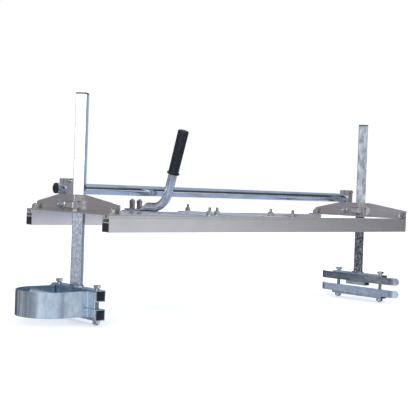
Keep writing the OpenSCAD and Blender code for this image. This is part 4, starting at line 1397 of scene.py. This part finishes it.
@dataclass
class Studio:
    """The pale floor, the room that metal mirrors, the lamps and the camera.

    The walls are azimuths in degrees and the tones that they have there, below and above eye level.
    """

    camera_at: tuple = (-1.5672, -1.7758, 0.3052)
    yaw: float = 40.71
    pitch: float = 1.03
    roll: float = 2.03
    lens: float = 78.82
    lamps: tuple = (
        Softbox("key_softbox", (-2.45, -1.35, 1.18), (-0.4, -0.03, 1.18), 1.8, 1.8, 14.0),
        Softbox("top_softbox", (0.2, 0.0, 2.4), (0, 0, 0.2), 2.8, 1.8, 17.0, mirrored=False))
    floor_half: float = 14.0
    floor_level: float = -0.3 * MM
    floor_tone: str = "#eef1f8"
    near_lift: float = 0.42
    ambient: float = 0.62
    ambient_tone: str = "#fafbff"
    ceiling: str = "#b0bac6"
    ground: str = "#b4bfdb"
    low_walls: tuple = (
        (-180, "#96979e"), (-165, "#a8a9af"), (-152, "#eceef2"), (-138, "#eaecf0"),
        (-130, "#d9dce2"), (-118, "#e4e8ef"), (-90, "#dfe3ea"), (-76, "#c4c6ce"),
        (-65, "#9c9ea6"), (-57, "#e6e7eb"), (-50, "#e8e7ea"), (-44, "#a4a3a6"),
        (-38, "#3f3e41"), (-30, "#3a393d"), (-8, "#404046"), (12, "#5c616d"),
        (33, "#9fb3d6"), (40, "#b7bad2"), (47, "#e2deea"), (55, "#dad6e3"),
        (63, "#7f8b9d"), (74, "#4f5661"), (92, "#3e4046"), (106, "#85878d"),
        (122, "#9d9b9f"), (140, "#b4b2b7"), (152, "#828289"), (180, "#96979e"))
    high_walls: tuple = (
        (-180, "#9fa0a6"), (-165, "#aeafb5"), (-152, "#eff1f4"), (-138, "#ecedf2"),
        (-130, "#dde0e6"), (-118, "#e4e8ef"), (-90, "#dde0e6"), (-74, "#9c9ca0"),
        (-60, "#4a494d"), (-30, "#38373b"), (-8, "#3c3c42"), (12, "#5c616d"),
        (33, "#9fb3d6"), (60, "#7590a6"), (74, "#4f5661"), (92, "#3e4046"),
        (106, "#85878d"), (122, "#9d9b9f"), (140, "#b4b2b7"), (152, "#8e8e95"),
        (180, "#9fa0a6"))

    def build(self) -> None:
        """Sets up all of it."""
        bpy.context.scene.view_settings.view_transform = "Standard"
        self.build_camera()
        self.build_floor()
        self.build_world()
        for lamp in self.lamps:
            lamp.build()

    def build_camera(self) -> None:
        """Places the camera; its axes come from yaw, pitch and roll."""
        psi, p, r = (math.radians(a) for a in (self.yaw, self.pitch, self.roll))
        ahead = np.array((math.sin(psi) * math.cos(p), math.cos(psi) * math.cos(p), -math.sin(p)))
        up = np.array((math.sin(psi) * math.sin(p), math.cos(psi) * math.sin(p), math.cos(p)))
        right = np.array((math.cos(psi), -math.sin(psi), 0))
        across = math.cos(r) * right + math.sin(r) * up
        upward = math.cos(r) * up - math.sin(r) * right
        data = bpy.data.cameras.new("photo_camera")
        data.lens, data.sensor_width = self.lens, 36.0
        bpy.context.scene.camera = hang("photo_camera", data, self.camera_at,
                                        np.array((across, upward, -ahead)))

    def build_floor(self) -> None:
        """A wide pale floor, which glossy rays pass through to the room's ground.

        Seen by the camera it is lifted to white, less so near the object, where its shadow stays.
        """
        mesh = bpy.data.meshes.new("studio_floor")
        half, z = self.floor_half, self.floor_level
        mesh.from_pydata([(-half, -half, z), (half, -half, z), (half, half, z), (-half, half, z)],
                         [], [(0, 1, 2, 3)])
        floor = bpy.data.objects.new("studio_floor", mesh)
        bpy.context.scene.collection.objects.link(floor)
        material = bpy.data.materials.new("pale_studio_floor")
        tree = cleared(material)
        place = add_node(tree, "TexCoord").outputs["Object"]
        away = add_node(tree, "VectorMath", {0: place}, operation="LENGTH")
        lift = add_node(tree, "MapRange", {
            "Value": away, "From Min": 1.0, "From Max": 2.6, "To Min": self.near_lift,
            "To Max": 1.0}, interpolation_type="SMOOTHSTEP")
        path = add_node(tree, "LightPath").outputs
        paint = add_node(tree, "BsdfDiffuse", {"Color": linear(self.floor_tone)})
        glow = add_node(tree, "Emission", {"Strength": lift})
        both = add_node(tree, "AddShader", {0: paint, 1: glow})
        seen = add_node(tree, "MixShader", {"Fac": path["Is Camera Ray"], 1: paint, 2: both})
        through = add_node(tree, "BsdfTransparent")
        mirrored = add_node(tree, "MixShader", {
            "Fac": path["Is Glossy Ray"], 1: seen, 2: through})
        add_node(tree, "OutputMaterial", {"Surface": mirrored})
        mesh.materials.append(material)

    def build_world(self) -> None:
        """A white room for the camera, an even one for diffuse light, and one with walls for gloss.

        What metal mirrors changes with the azimuth: white walls towards the key lamp, dark ones to
        the right of the camera and grey ones behind the object, under a pale ceiling and over a
        lilac ground.
        """
        world = bpy.data.worlds.new("studio_room")
        bpy.context.scene.world = world
        tree = cleared(world)
        way = add_node(tree, "TexCoord").outputs["Generated"]
        parts = add_node(tree, "SeparateXYZ", {0: way}).outputs
        azimuth = add_node(tree, "Math", {0: parts["Y"], 1: parts["X"]}, operation="ARCTAN2")
        turn = add_node(tree, "MapRange", {
            "Value": azimuth, "From Min": -math.pi, "From Max": math.pi})
        low, high = (add_node(tree, "ValToRGB", {"Fac": turn}, [
            ((degrees + 180) / 360, tone) for degrees, tone in walls])
            for walls in (self.low_walls, self.high_walls))
        tone = low
        for start, end, colour in ((0.0, 0.14, high), (0.5, 0.72, linear(self.ceiling)),
                                   (-0.13, -0.32, linear(self.ground))):
            share = add_node(tree, "MapRange", {
                "Value": parts["Z"], "From Min": start, "From Max": end},
                interpolation_type="SMOOTHSTEP")
            tone = add_node(tree, "Mix", {"Factor": share, "A": tone, "B": colour},
                            data_type="RGBA")
        mirrored = add_node(tree, "Background", {"Color": tone})
        even = add_node(tree, "Background", {
            "Color": linear(self.ambient_tone), "Strength": self.ambient})
        white = add_node(tree, "Background", {"Color": (1, 1, 1, 1)})
        path = add_node(tree, "LightPath").outputs
        lit = add_node(tree, "MixShader", {"Fac": path["Is Glossy Ray"], 1: even, 2: mirrored})
        plain = add_node(tree, "Math", {
            0: path["Is Camera Ray"], 1: path["Is Transmission Ray"]}, operation="MAXIMUM")
        seen = add_node(tree, "MixShader", {"Fac": plain, 1: lit, 2: white})
        add_node(tree, "OutputWorld", {"Surface": seen})


def main() -> None:
    """Builds the mill and the studio."""
    logging.basicConfig(level=logging.INFO, format="%(name)s: %(message)s")
    left, right = Side.LEFT, Side.RIGHT
    parts = [Rails(), BracketSet(left), BracketSet(right), Mast(left), Mast(right), Jaw(left),
             Jaw(right), NoseGuard(), WearStrips(), PushBar(), Handle(), CrossTie(), Studio()]
    for part in parts:
        part.build()
        log.info("built %s", type(part).__name__)


if __name__ == "__main__":
    main()
